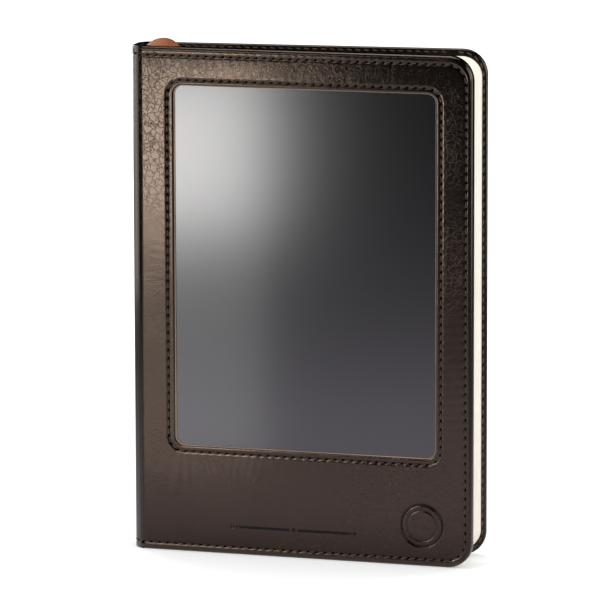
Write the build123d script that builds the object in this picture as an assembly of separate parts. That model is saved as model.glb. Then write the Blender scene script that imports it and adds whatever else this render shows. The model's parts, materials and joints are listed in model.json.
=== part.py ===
from build123d import *

import os
from math import atan2, cos, degrees, radians, sin

# A hardcover notebook with an LCD writing screen let into its front cover.
#
# The book stands on its tail with the front cover towards -Y, the spine at -X and +Z up. Every size is in
# millimetres. The book is drawn closed and parallel first, with the spine's outer face on x = 0 and the
# middle of its thickness on y = 0. The front cover and the loose leaves are then turned about their own
# hinge lines to the angle at which the closed book stands, and the whole book is moved so that the origin
# lies on the ground under the middle of its box.
#
# From the outside in, a cover is leather, a board, an infill card inside the leather's turn-ins and a
# pasted-down endpaper. The front board is a frame round the screen module: a tray with the writing screen,
# and below it a chin with the circuit board, the coin cell and the clear button under a leather disc.

# Pages, and how far the covers stand out beyond them.
page_height = 210.0
page_width = 144.2
page_corner_radius = 8.5
head_square = 3.0
fore_edge_square = 2.0

# Covers.
cover_corner_radius = 10.5
outer_edge_round = 1.7
inner_edge_round = 1.0

# Layers of a cover, from the outside in.
leather_thickness = 1.0
front_board_thickness = 3.5
back_board_thickness = 2.4
turn_in_thickness = 0.4
pastedown_thickness = 0.2
turn_in_width = 12.0
infill_corner_radius = 0.5
pastedown_margin = 5.5

# Joint between a board and the spine: a leather strip, slightly bowed, that bends along its middle line.
joint_width = 4.7
joint_depth = 5.2
joint_bow = 0.7
crease_drop = 0.35
crease_round = 0.5
strip_seam_gap = 0.06

# Spine.
spine_board_thickness = 2.0
spine_board_end_margin = 1.6
spine_lining_thickness = 0.3
spine_hollow = 0.6
spine_end_round = 0.45

# Book block.
section_count = 7
section_spine_thickness = 1.257
section_fore_thickness = 2.03
fold_round_share = 0.4
leaf_gap = 0.1
flyleaf_thickness = 0.2
front_leaves_1_thickness = 0.2
front_leaves_2_thickness = 0.3
back_leaves_thickness = 0.6
gauze_thickness = 0.4
gauze_end_margin = 12.0
headband_radius = 0.9
headband_rise = 0.6
headband_tape_height = 9.0
headband_tape_thickness = 0.25

# Ribbon marker.
ribbon_width = 6.0
ribbon_thickness = 0.3
ribbon_after_section = 4
ribbon_glued_length = 24.0
ribbon_arch_height = 5.7
ribbon_arch_span = 13.5
ribbon_arch_stations = 8
ribbon_end_x = 46.0
ribbon_end_z = 14.0
ribbon_channel_clearance = 0.06

# How the closed book stands: the cover springs a little open, and the first leaves follow it.
front_rest_opening = 4.8
front_closed_slack = 0.05
flyleaf_follow = 0.66
leaves_1_follow = 0.33
leaves_2_follow = 0.165

# Screen window in the front leather.
window_joint_margin = 15.3
window_fore_edge_margin = 15.7
window_head_margin = 16.2
window_bottom = 46.2
window_corner_radius = 4.3
cut_edge_bevel = 0.25

# Screen module.
module_side_border = 5.6
module_top_border = 4.5
module_bottom = 5.5
module_corner_radius = 4.0
module_clearance = 0.15
tray_wall = 1.4
tray_floor = 0.8
screen_bay_below_window = 3.5
screen_thickness = 0.7
screen_clearance = 0.2
chin_plate_thickness = 0.9
chin_plate_clearance = 0.15
pillar_width = 3.0
pillar_inset = 3.4

# Clear button.
button_fore_edge_margin = 21.4
button_z = 17.4
button_leather_radius = 8.8
button_leather_gap = 0.3
plunger_radius = 7.6
plunger_gap = 0.4
plunger_stem_radius = 1.6
plunger_stem_length = 0.5
button_travel = 0.3
button_bottom_gap = 0.1
dome_radius = 3.0
dome_shoulder_radius = 2.0
dome_shoulder_height = 0.25
dome_top_radius = 0.9
dome_height = 0.35

# Circuit board and its parts.
circuit_board_width = 25.4
circuit_board_height = 22.0
circuit_board_thickness = 0.6
circuit_board_side_gap = 0.6
circuit_board_lower_gap = 1.3
chip_width = 4.0
chip_thickness = 0.9
chip_from_left = 5.8
chip_from_bottom = 13.4
capacitor_length = 1.6
capacitor_width = 0.8
capacitor_thickness = 0.8
capacitor_count = 4
capacitor_pitch = 2.4
capacitor_from_left = 3.4
capacitor_from_bottom = 3.0
flex_width = 6.0
flex_thickness = 0.15
flex_from_left = 5.6
flex_lap = 3.5
flex_side_clearance = 0.5
flex_plate_gap = 0.05
flex_bend = 0.4

# Coin cell, its contacts and its door.
cell_radius = 10.0
cell_thickness = 1.6
cell_board_gap = 3.0
cell_step = 0.3
cell_cap_inset = 1.2
contact_thickness = 0.15
contact_width = 4.0
contact_clearance = 0.05
contact_lap = 1.8
contact_foot_inset = 1.0
contact_reach = 3.0
door_neck_margin = 1.2
door_lip = 1.3
door_screw_land = 5.8
door_turn_in_gap = 1.0
door_corner_radius = 2.5
door_clearance = 0.2
door_screw_inset = 3.4
screw_head_radius = 1.6
screw_head_thickness = 0.35
screw_head_clearance = 0.1
screw_boss_cap = 0.3
screw_shank_radius = 0.7
screw_boss_radius = 2.0
screw_slot_width = 0.35
screw_slot_length = 2.1
screw_slot_depth = 0.25

# How far a cutting shape runs past what it cuts.
overrun = 1.0

# Sizes that follow from those above.
front_leather_depth = leather_thickness + front_board_thickness + turn_in_thickness
back_leather_depth = leather_thickness + back_board_thickness + turn_in_thickness
front_cover_thickness = front_leather_depth + pastedown_thickness
back_cover_thickness = back_leather_depth + pastedown_thickness
sections_at_spine = section_count * section_spine_thickness
sections_at_fore_edge = section_count * section_fore_thickness
back_leaf_stack = flyleaf_thickness + back_leaves_thickness + 3 * leaf_gap
front_leaf_stack = flyleaf_thickness + front_leaves_1_thickness + front_leaves_2_thickness + 4 * leaf_gap
block_at_spine = sections_at_spine + back_leaf_stack + front_leaf_stack
book_thickness = front_cover_thickness + block_at_spine + back_cover_thickness
front_face_y = -book_thickness / 2
back_face_y = book_thickness / 2

spine_board_x = leather_thickness
spine_lining_x = spine_board_x + spine_board_thickness
gauze_x = spine_lining_x + spine_lining_thickness + spine_hollow
page_spine_x = gauze_x + gauze_thickness
page_fore_x = page_spine_x + page_width
page_bottom_z = head_square
page_top_z = page_bottom_z + page_height
cover_width = page_fore_x + fore_edge_square
cover_height = page_top_z + head_square
sections_back_y = back_face_y - back_cover_thickness - back_leaf_stack
sections_front_y = sections_back_y - sections_at_spine
block_fan = degrees(atan2(sections_at_fore_edge - sections_at_spine, page_width))
front_closed_opening = block_fan + front_closed_slack
front_closing_travel = front_rest_opening - front_closed_opening

window_left = joint_width + window_joint_margin
window_right = cover_width - window_fore_edge_margin
window_top = cover_height - window_head_margin
module_left = window_left - module_side_border
module_right = window_right + module_side_border
module_top = window_top + module_top_border
bay_rib_top = window_bottom - screen_bay_below_window
bay_rib_bottom = bay_rib_top - tray_wall
bay_left = module_left + tray_wall
bay_right = module_right - tray_wall
bay_top = module_top - tray_wall
chin_bottom = module_bottom + tray_wall
bay_corner_radius = module_corner_radius - tray_wall

button_x = cover_width - button_fore_edge_margin
circuit_board_left = bay_right - circuit_board_side_gap - circuit_board_width
circuit_board_bottom = chin_bottom + circuit_board_lower_gap
flex_left = circuit_board_left + flex_from_left
flex_notch_x = (flex_left - flex_side_clearance, flex_left + flex_width + flex_side_clearance)

# Depths behind the front cover's outer face.
module_front_depth = leather_thickness
module_back_depth = leather_thickness + front_board_thickness
tray_floor_depth = module_back_depth - tray_floor
circuit_board_depth = tray_floor_depth - circuit_board_thickness
chin_plate_back_depth = module_front_depth + chin_plate_thickness
cell_front_depth = tray_floor_depth - cell_thickness

door_neck_half = cell_radius + door_neck_margin
door_half_height = door_neck_half + door_lip
cell_x = circuit_board_left - cell_board_gap - cell_radius
cell_z = turn_in_width + door_turn_in_gap + door_half_height
door_right = cell_x + door_half_height
door_left = cell_x - door_neck_half - door_screw_land
screw_x = door_left + door_screw_inset
screw_z = cell_z
door_flange_depth = front_leather_depth - turn_in_thickness
screw_head_depth = front_cover_thickness - screw_head_thickness


def box_between(x, y, z):
    """A box from three (low, high) pairs."""
    size = [high - low for low, high in (x, y, z)]
    middle = [(high + low) / 2 for low, high in (x, y, z)]
    return Pos(*middle) * Box(*size)


def plate(outline, near_y, far_y):
    """An outline in the XZ plane, filled from near_y back to far_y."""
    return extrude(Plane.XZ.offset(-near_y) * outline, amount=near_y - far_y)


def rounded(left, right, bottom, top, radius):
    """A rectangle in the XZ plane with four round corners."""
    outline = RectangleRounded(right - left, top - bottom, radius)
    return Pos((left + right) / 2, (bottom + top) / 2) * outline


def book_outline(left, right, bottom, top, radius):
    """A rectangle in the XZ plane with its two fore-edge corners round."""
    outline = Pos((left + right) / 2, (bottom + top) / 2) * Rectangle(right - left, top - bottom)
    return fillet(outline.vertices().sort_by(Axis.X)[-2:], radius)


def cylinder_y(x, z, radius, near_y, far_y):
    """A round bar along Y."""
    return plate(Pos(x, z) * Circle(radius), near_y, far_y)


def depth(amount):
    """The y of a point this far behind the front cover's outer face, with the book closed."""
    return front_face_y + amount


def turned(shape, pivot, angle):
    """The shape turned clockwise, seen from above, about the upright line through pivot."""
    return Pos(pivot[0], pivot[1], 0) * Rot(0, 0, -angle) * Pos(-pivot[0], -pivot[1], 0) * shape


class JointStrip:
    """The bowed leather strip between the spine and a cover, seen from above. side is -1 for the front."""

    def __init__(self, side):
        face_y = side * book_thickness / 2
        self.spine_end = Vector(0, face_y - side * joint_depth)
        self.cover_end = Vector(joint_width, face_y - side * crease_drop)
        chord = self.cover_end - self.spine_end
        out = Vector(-abs(chord.Y), side * chord.X).normalized()
        self.radius = chord.length**2 / (8 * joint_bow) + joint_bow / 2
        self.pivot = (self.spine_end + self.cover_end) * 0.5 + out * joint_bow
        self.centre = self.pivot - out * self.radius
        self.spine_angle = self._angle(self.spine_end)
        self.cover_angle = self._angle(self.cover_end)
        self.pivot_angle = self._angle(self.pivot)

    def _angle(self, point):
        arm = point - self.centre
        return degrees(atan2(arm.Y, arm.X)) % 360

    def _at(self, angle, inward):
        reach = self.radius - inward
        return (
            self.centre.X + reach * cos(radians(angle)),
            self.centre.Y + reach * sin(radians(angle)),
        )

    def half(self, towards_cover):
        """One half of the strip, standing on the ground plane and as tall as the cover."""
        end = self.cover_angle if towards_cover else self.spine_angle
        turn = 1 if end > self.pivot_angle else -1
        start = self.pivot_angle + turn * degrees(strip_seam_gap / 2 / self.radius)
        middle = (start + end) / 2
        outline = make_face(
            [
                ThreePointArc(self._at(start, 0), self._at(middle, 0), self._at(end, 0)),
                Line(self._at(end, 0), self._at(end, leather_thickness)),
                ThreePointArc(
                    self._at(end, leather_thickness),
                    self._at(middle, leather_thickness),
                    self._at(start, leather_thickness),
                ),
                Line(self._at(start, leather_thickness), self._at(start, 0)),
            ]
        )
        return extrude(outline, amount=cover_height)


front_joint = JointStrip(-1)
back_joint = JointStrip(1)


def rim_edges(solid, face_y):
    """The edges of a cover on one of its faces, without the one beside the spine."""
    on_face = [e for e in solid.edges() if abs(e.center().Y - face_y) < 1e-4]
    return [e for e in on_face if e.center().X > joint_width + 1e-3]


def cover_leather(side, leather_depth, board_thickness):
    """The leather of one cover: outer face, wrapped edges, turn-ins and its half of the joint strip."""
    outer_y = side * book_thickness / 2
    inner_y = outer_y - side * leather_depth
    board_outer_y = outer_y - side * leather_thickness
    board_inner_y = board_outer_y - side * board_thickness
    near, far = sorted((outer_y, inner_y))
    leather = plate(book_outline(joint_width, cover_width, 0, cover_height, cover_corner_radius), near, far)
    leather = fillet(rim_edges(leather, outer_y), outer_edge_round)
    leather = fillet(rim_edges(leather, inner_y), inner_edge_round)
    board_room = book_outline(
        joint_width - overrun,
        cover_width - leather_thickness,
        leather_thickness,
        cover_height - leather_thickness,
        cover_corner_radius - leather_thickness,
    )
    leather -= plate(board_room, *sorted((board_outer_y, board_inner_y)))
    infill_room = rounded(
        joint_width - overrun,
        cover_width - turn_in_width,
        turn_in_width,
        cover_height - turn_in_width,
        infill_corner_radius,
    )
    leather -= plate(infill_room, *sorted((board_inner_y, inner_y)))
    crease = [
        e
        for e in leather.edges().filter_by(Axis.Z)
        if abs(e.center().X - joint_width) < 1e-3 and abs(e.center().Y - outer_y) < 1e-3
    ]
    leather = fillet(crease, min(crease_round, crease_drop))
    return leather


def board(side, board_thickness):
    """The stiff board inside a cover."""
    outer_y = side * (book_thickness / 2 - leather_thickness)
    outline = book_outline(
        joint_width,
        cover_width - leather_thickness,
        leather_thickness,
        cover_height - leather_thickness,
        cover_corner_radius - leather_thickness,
    )
    return plate(outline, *sorted((outer_y, outer_y - side * board_thickness)))


def infill(side, board_thickness):
    """The card that levels the inside of a cover within the turn-ins."""
    outer_y = side * (book_thickness / 2 - leather_thickness - board_thickness)
    outline = rounded(
        joint_width,
        cover_width - turn_in_width,
        turn_in_width,
        cover_height - turn_in_width,
        infill_corner_radius,
    )
    return plate(outline, *sorted((outer_y, outer_y - side * turn_in_thickness)))


def pastedown(side, leather_depth):
    """The endpaper glued to the inside of a cover, over the turn-ins."""
    outer_y = side * (book_thickness / 2 - leather_depth)
    outline = book_outline(
        joint_width + crease_round,
        cover_width - pastedown_margin,
        pastedown_margin,
        cover_height - pastedown_margin,
        cover_corner_radius - pastedown_margin,
    )
    return plate(outline, *sorted((outer_y, outer_y - side * pastedown_thickness)))


def with_strip(leather, side, board_thickness):
    """A cover's leather with its half of the joint strip, trimmed where it meets the board."""
    joint = back_joint if side > 0 else front_joint
    return leather + (joint.half(towards_cover=True) - board(side, board_thickness))


def with_opening(leather, outline):
    """The front leather with an opening cut in it, bevelled at the outer edge."""
    leather -= plate(outline, depth(0), depth(leather_thickness))
    box = outline.bounding_box()
    rim = [
        e
        for e in leather.edges()
        if abs(e.center().Y - front_face_y) < 1e-4
        and box.min.X - 1e-3 < e.center().X < box.max.X + 1e-3
        and box.min.Y - 1e-3 < e.center().Z < box.max.Y + 1e-3
    ]
    return chamfer(rim, cut_edge_bevel)


def front_leather():
    """The front leather, with the screen window and the hole of the clear button."""
    leather = cover_leather(-1, front_leather_depth, front_board_thickness)
    window = rounded(window_left, window_right, window_bottom, window_top, window_corner_radius)
    button_hole = Pos(button_x, button_z) * Circle(button_leather_radius + button_leather_gap)
    leather = with_opening(with_opening(leather, window), button_hole)
    return with_strip(leather, -1, front_board_thickness)


def module_outline(grow=0.0):
    """The outline of the screen module, grown by a clearance."""
    return rounded(
        module_left - grow,
        module_right + grow,
        module_bottom - grow,
        module_top + grow,
        module_corner_radius + grow,
    )


def screen_bay_outline(shrink=0.0):
    """The upper bay of the tray, which holds the screen."""
    return rounded(
        bay_left + shrink, bay_right - shrink, bay_rib_top + shrink, bay_top - shrink, bay_corner_radius
    )


def chin_bay_outline(shrink=0.0):
    """The lower bay of the tray, which holds the electronics."""
    return rounded(
        bay_left + shrink,
        bay_right - shrink,
        chin_bottom + shrink,
        bay_rib_bottom - shrink,
        bay_corner_radius,
    )


def pillar_places():
    """Where the tray's pillars carry the chin plate."""
    low = chin_bottom + pillar_inset
    high = bay_rib_bottom - pillar_inset
    left = bay_left + pillar_inset
    middle = (left + door_left) / 2
    return [(left, low), (left, high), (middle, low), (middle, high), (circuit_board_left, high)]


def door_outline(grow=0.0):
    """The battery door's outline, grown by a clearance."""
    return rounded(
        door_left - grow,
        door_right + grow,
        cell_z - door_half_height - grow,
        cell_z + door_half_height + grow,
        door_corner_radius + grow,
    )


def door_neck_outline(grow=0.0):
    """The raised middle of the battery door, which presses on the cell."""
    half = door_neck_half + grow
    return rounded(cell_x - half, cell_x + half, cell_z - half, cell_z + half, door_corner_radius)


def module_tray():
    """The module's back shell: floor, walls, the rib between its bays, pillars and the screw boss."""
    tray = plate(module_outline(), depth(module_front_depth), depth(module_back_depth))
    tray -= plate(screen_bay_outline(), depth(module_front_depth), depth(tray_floor_depth))
    tray -= plate(chin_bay_outline(), depth(module_front_depth), depth(tray_floor_depth))
    bay_depths = (depth(chin_plate_back_depth), depth(tray_floor_depth))
    half = pillar_width / 2
    for x, z in pillar_places():
        tray += box_between((x - half, x + half), bay_depths, (z - half, z + half))
    tray += cylinder_y(screw_x, screw_z, screw_boss_radius, *bay_depths)
    tray -= cylinder_y(
        screw_x,
        screw_z,
        screw_shank_radius,
        depth(chin_plate_back_depth + screw_boss_cap),
        depth(module_back_depth),
    )
    tray -= plate(door_neck_outline(door_clearance), depth(tray_floor_depth), depth(module_back_depth))
    notch_depth = (depth(module_front_depth), depth(chin_plate_back_depth + 3 * flex_thickness))
    tray -= box_between(flex_notch_x, notch_depth, (bay_rib_bottom, bay_rib_top))
    return tray


def writing_screen():
    """The bistable liquid-crystal film that is written on, behind the window."""
    return plate(
        screen_bay_outline(screen_clearance),
        depth(module_front_depth),
        depth(module_front_depth + screen_thickness),
    )


def screen_backing():
    """The black foam sheet between the film and the tray's floor, with a notch for the flex cable."""
    backing = plate(
        screen_bay_outline(screen_clearance),
        depth(module_front_depth + screen_thickness),
        depth(tray_floor_depth),
    )
    notch = box_between(
        flex_notch_x,
        (depth(module_front_depth), depth(tray_floor_depth)),
        (bay_rib_top, bay_rib_top + flex_lap),
    )
    return backing - notch


def chin_plate():
    """The stiff plate under the leather below the window, with the button's hole."""
    chin = plate(
        chin_bay_outline(chin_plate_clearance), depth(module_front_depth), depth(chin_plate_back_depth)
    )
    disc_room = module_front_depth + button_travel + button_bottom_gap
    chin -= cylinder_y(
        button_x,
        button_z,
        button_leather_radius + button_leather_gap,
        depth(module_front_depth),
        depth(disc_room),
    )
    return chin - cylinder_y(
        button_x, button_z, plunger_radius + plunger_gap, depth(disc_room), depth(chin_plate_back_depth)
    )


def front_board():
    """The front board is a frame round the screen module."""
    return board(-1, front_board_thickness) - plate(
        module_outline(module_clearance), depth(module_front_depth), depth(module_back_depth)
    )


def circuit_board():
    """The small circuit board on the tray's floor under the clear button."""
    return box_between(
        (circuit_board_left, circuit_board_left + circuit_board_width),
        (depth(circuit_board_depth), depth(tray_floor_depth)),
        (circuit_board_bottom, circuit_board_bottom + circuit_board_height),
    )


def on_circuit_board(length, width, thickness, from_left, from_bottom):
    """A rectangular component standing on the circuit board, placed by its middle."""
    x = circuit_board_left + from_left
    z = circuit_board_bottom + from_bottom
    return box_between(
        (x - length / 2, x + length / 2),
        (depth(circuit_board_depth - thickness), depth(circuit_board_depth)),
        (z - width / 2, z + width / 2),
    )


def control_chip():
    """The chip that drives the clearing pulse."""
    return on_circuit_board(chip_width, chip_width, chip_thickness, chip_from_left, chip_from_bottom)


def capacitors():
    """A row of chip capacitors that store the clearing pulse."""
    size = (capacitor_length, capacitor_width, capacitor_thickness)
    heights = [capacitor_from_bottom + i * capacitor_pitch for i in range(capacitor_count)]
    return Compound(children=[on_circuit_board(*size, capacitor_from_left, height) for height in heights])


def dome_switch():
    """The snap dome on the circuit board under the plunger: a flat-topped shell with a sloping shoulder."""
    half = make_face(
        Polyline(
            (0, 0),
            (dome_radius, 0),
            (dome_shoulder_radius, dome_shoulder_height),
            (dome_top_radius, dome_height),
            (0, dome_height),
            close=True,
        )
    )
    dome = revolve(Plane.XZ * half, Axis.Z)
    return Pos(button_x, depth(circuit_board_depth), button_z) * Rot(90, 0, 0) * dome


def flex_cable():
    """The flat cable from the screen's lower edge over the rib and down to the circuit board."""
    screen_back = module_front_depth + screen_thickness
    below_plate = chin_plate_back_depth + flex_plate_gap
    board_top = circuit_board_depth - flex_thickness
    lap_end = circuit_board_bottom + circuit_board_height - flex_lap
    line = [
        (bay_rib_top + flex_lap - screen_clearance, screen_back),
        (bay_rib_top + flex_bend, screen_back),
        (bay_rib_bottom + flex_bend, below_plate),
        (lap_end + 2 * flex_lap, below_plate),
        (lap_end + flex_lap, board_top),
        (lap_end, board_top),
    ]
    front = [(depth(d), z) for z, d in line]
    back = [(depth(d + flex_thickness), z) for z, d in reversed(line)]
    outline = make_face(Polyline(*front, *back, close=True))
    return extrude(Plane.YZ.offset(flex_left) * outline, amount=flex_width)


def coin_cell():
    """The lithium coin cell: its can, and the smaller cap on its front side."""
    step = depth(cell_front_depth + cell_step)
    can = cylinder_y(cell_x, cell_z, cell_radius, step, depth(tray_floor_depth))
    return can + cylinder_y(cell_x, cell_z, cell_radius - cell_cap_inset, depth(cell_front_depth), step)


def cell_contact_minus():
    """The spring strip over the cell's cap, bent down to the circuit board."""
    foot_x = circuit_board_left + contact_lap
    front = cell_front_depth - contact_thickness
    z = (cell_z - contact_width / 2, cell_z + contact_width / 2)
    over = box_between((cell_x - contact_reach, foot_x), (depth(front), depth(cell_front_depth)), z)
    down = box_between((foot_x - contact_thickness, foot_x), (depth(front), depth(circuit_board_depth)), z)
    return over + down


def cell_contact_plus():
    """The strip that touches the cell's rim, with its foot on the circuit board."""
    near_x = cell_x + cell_radius + contact_clearance
    foot_z = circuit_board_bottom + contact_foot_inset
    top = circuit_board_depth - contact_thickness
    blade = box_between(
        (near_x, near_x + contact_thickness),
        (depth(top), depth(tray_floor_depth - contact_clearance)),
        (foot_z, cell_z + contact_foot_inset),
    )
    foot = box_between(
        (near_x, circuit_board_left + contact_lap),
        (depth(top), depth(circuit_board_depth)),
        (foot_z, foot_z + contact_width),
    )
    return blade + foot


def battery_door():
    """The door inside the cover: a flange level with the endpaper and a neck that reaches the cell."""
    flange = depth(door_flange_depth)
    face = depth(front_cover_thickness)
    door = plate(door_outline(), flange, face)
    door += plate(door_neck_outline(), depth(tray_floor_depth), flange)
    door -= cylinder_y(screw_x, screw_z, screw_shank_radius, flange, depth(screw_head_depth))
    head_hole = screw_head_radius + screw_head_clearance
    return door - cylinder_y(screw_x, screw_z, head_hole, depth(screw_head_depth), face)


def door_screw():
    """The screw of the battery door, with its cross slot."""
    screw = cylinder_y(
        screw_x, screw_z, screw_head_radius, depth(screw_head_depth), depth(front_cover_thickness)
    )
    shank_front = chin_plate_back_depth + screw_boss_cap
    screw += cylinder_y(screw_x, screw_z, screw_shank_radius, depth(shank_front), depth(screw_head_depth))
    reach = screw_slot_length / 2
    half = screw_slot_width / 2
    slot_y = (depth(front_cover_thickness - screw_slot_depth), depth(front_cover_thickness))
    screw -= box_between((screw_x - reach, screw_x + reach), slot_y, (screw_z - half, screw_z + half))
    screw -= box_between((screw_x - half, screw_x + half), slot_y, (screw_z - reach, screw_z + reach))
    return screw


def clear_button_leather():
    """The leather disc that is pressed to clear the screen."""
    disc = cylinder_y(button_x, button_z, button_leather_radius, depth(0), depth(leather_thickness))
    return chamfer(disc.edges().sort_by(Axis.Y)[0], cut_edge_bevel)


def clear_button_plunger():
    """The plunger under the leather disc, whose stem presses the dome."""
    plunger = cylinder_y(
        button_x, button_z, plunger_radius, depth(module_front_depth), depth(chin_plate_back_depth)
    )
    return plunger + cylinder_y(
        button_x,
        button_z,
        plunger_stem_radius,
        depth(chin_plate_back_depth),
        depth(chin_plate_back_depth + plunger_stem_length),
    )


def door_room(near, far):
    """The room that the infill and the endpaper leave for the battery door."""
    return plate(door_outline(door_clearance), depth(near), depth(far))


def spine_leather():
    """The leather over the spine, with its halves of both joint strips."""
    half = front_joint.spine_end.Y
    panel = box_between((0, leather_thickness), (half, back_joint.spine_end.Y), (0, cover_height))
    leather = panel + front_joint.half(towards_cover=False) + back_joint.half(towards_cover=False)
    leather -= spine_strip(spine_board_x, spine_lining_x, 0, 0)
    ends = [e for e in leather.edges() if abs(e.center().X) < 1e-3 and e.center().Z > cover_height - 1e-3]
    ends += [e for e in leather.edges() if abs(e.center().X) < 1e-3 and e.center().Z < 1e-3]
    return fillet(ends, spine_end_round)


def spine_strip(near_x, far_x, margin, end_margin):
    """A strip inside the spine, between the joints."""
    return box_between(
        (near_x, far_x),
        (front_joint.spine_end.Y + margin, back_joint.spine_end.Y - margin),
        (end_margin, cover_height - end_margin),
    )


def page_stack_outline():
    """The outline of the pages, with round corners at the fore edge."""
    return book_outline(page_spine_x, page_fore_x, page_bottom_z, page_top_z, page_corner_radius)


def section(index):
    """One sewn section, counted from the back: a wedge with its folds rounded at the spine."""

    def layer(k):
        at_spine = sections_back_y - k * section_spine_thickness
        at_fore_edge = sections_back_y - k * section_fore_thickness
        return (page_spine_x, at_spine), (page_fore_x, at_fore_edge)

    (x0, back_spine), (x1, back_fore) = layer(index)
    (_, front_spine), (_, front_fore) = layer(index + 1)
    wedge = make_face(
        Polyline((x0, back_spine), (x1, back_fore), (x1, front_fore), (x0, front_spine), close=True)
    )
    wedge = fillet(wedge.vertices().sort_by(Axis.X)[:2], section_spine_thickness * fold_round_share)
    body = Pos(0, 0, page_bottom_z) * extrude(wedge, amount=page_height)
    pages = body & plate(page_stack_outline(), front_fore - overrun, back_spine + overrun)
    if index + 1 == ribbon_after_section:
        pages -= ribbon_inner(ribbon_channel_clearance)
    return pages


def leaf(thickness, pivot_y, angle, side):
    """Loose leaves as one sheet, turned about their outer corner at the spine. side is -1 for the front."""
    near, far = sorted((pivot_y, pivot_y - side * thickness))
    sheet = plate(page_stack_outline(), near, far)
    return turned(sheet, (page_spine_x, pivot_y), angle)


def ribbon_plane():
    """The front face of the section that the ribbon lies on, facing the front."""
    k = ribbon_after_section
    spine_y = sections_back_y - k * section_spine_thickness
    fore_y = sections_back_y - k * section_fore_thickness
    along = Vector(page_width, fore_y - spine_y, 0).normalized()
    return Plane(origin=(page_spine_x, spine_y, 0), x_dir=along, z_dir=along.cross(Vector(0, 0, 1)))


def ribbon_route():
    """The ribbon's direction between the pages, and the point where it enters them."""
    entry = Vector(page_spine_x + ribbon_arch_span, page_top_z)
    end = Vector(ribbon_end_x, ribbon_end_z)
    return entry, end


def ribbon_inner(clearance=0.0):
    """The ribbon between the pages, running slantwise from the head towards the tail."""
    entry, end = ribbon_route()
    run = end - entry
    across = Vector(-run.Y, run.X).normalized() * (ribbon_width / 2 + clearance)
    above = run.normalized() * -overrun if clearance else Vector(0, 0)
    corners = [entry + above + across, end + across, end - across, entry + above - across]
    outline = make_face(Polyline(*[(p.X - page_spine_x, p.Y) for p in corners], close=True))
    sunk = ribbon_channel_clearance - clearance
    return extrude(ribbon_plane().offset(-sunk) * outline, amount=-(ribbon_thickness + 2 * clearance))


def ribbon_middle_y():
    """The y of the ribbon's middle where it enters the pages."""
    sunk = ribbon_channel_clearance + ribbon_thickness / 2
    return (ribbon_plane() * Pos(ribbon_arch_span, 0, -sunk)).position.Y


def ribbon_arch():
    """The ribbon over the head: it leaves the spine facing it and turns a quarter to lie on the page."""
    entry, end = ribbon_route()
    start_x = gauze_x - ribbon_thickness / 2
    page_y = ribbon_middle_y()
    start = Vector(start_x, page_y, page_top_z)
    finish = Vector(entry.X, page_y, page_top_z)
    run = (end - entry).normalized()
    down = Vector(run.X, 0, run.Y)
    rise = ribbon_arch_height * 4 / 3
    route = Bezier(start, start + Vector(0, 0, rise), finish - down * rise, finish)
    stations = []
    for i in range(ribbon_arch_stations + 1):
        share = i / ribbon_arch_stations
        tangent = route % share
        quarter = radians(90 * (3 * share**2 - 2 * share**3))
        level = Vector(0, 1, 0)
        upright = tangent.cross(level).normalized()
        width_dir = level * cos(quarter) + upright * sin(quarter)
        station = Plane(origin=route @ share, x_dir=width_dir, z_dir=tangent)
        stations.append(station * Rectangle(ribbon_width, ribbon_thickness))
    return loft(stations)


def ribbon_marker():
    """The ribbon: glued in the spine's hollow, over the head, then down between the pages."""
    page_y = ribbon_middle_y()
    glued = box_between(
        (gauze_x - ribbon_thickness, gauze_x),
        (page_y - ribbon_width / 2, page_y + ribbon_width / 2),
        (page_top_z - ribbon_glued_length, page_top_z),
    )
    return glued + ribbon_arch() + ribbon_inner()


def gauze():
    """The glued gauze over the backs of the sections."""
    return box_between(
        (gauze_x, page_spine_x),
        (sections_front_y, sections_back_y),
        (page_bottom_z + gauze_end_margin, page_top_z - gauze_end_margin),
    )


def headband(end_z, towards):
    """A headband: a bead along the end of the block's back, on a tape glued to the sections."""
    bead_z = end_z + towards * headband_rise
    bead_x = gauze_x + headband_radius
    bead = extrude(
        Plane.XZ.offset(-sections_front_y) * (Pos(bead_x, bead_z) * Circle(headband_radius)),
        amount=-(sections_back_y - sections_front_y),
    )
    room = box_between(
        (page_spine_x, page_fore_x), (front_face_y, back_face_y), (page_bottom_z, page_top_z)
    )
    tape_z = sorted((end_z, end_z - towards * headband_tape_height))
    tape = box_between(
        (page_spine_x - headband_tape_thickness, page_spine_x), (sections_front_y, sections_back_y), tape_z
    )
    return (bead - room) + tape


def leaf_pivots():
    """The hinge line of each bundle of loose leaves, at its outer corner beside the spine."""
    y = sections_front_y - leaf_gap - front_leaves_2_thickness
    places = {"front_leaves_2": y}
    y -= leaf_gap + front_leaves_1_thickness
    places["front_leaves_1"] = y
    y -= leaf_gap + flyleaf_thickness
    places["front_flyleaf"] = y
    y = sections_back_y + leaf_gap + back_leaves_thickness
    places["back_leaves"] = y
    places["back_flyleaf"] = y + leaf_gap + flyleaf_thickness
    return places


def rest_angle(follow):
    """How far front leaves stand open at rest when they follow the cover by this share."""
    return block_fan + follow * front_closing_travel


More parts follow.
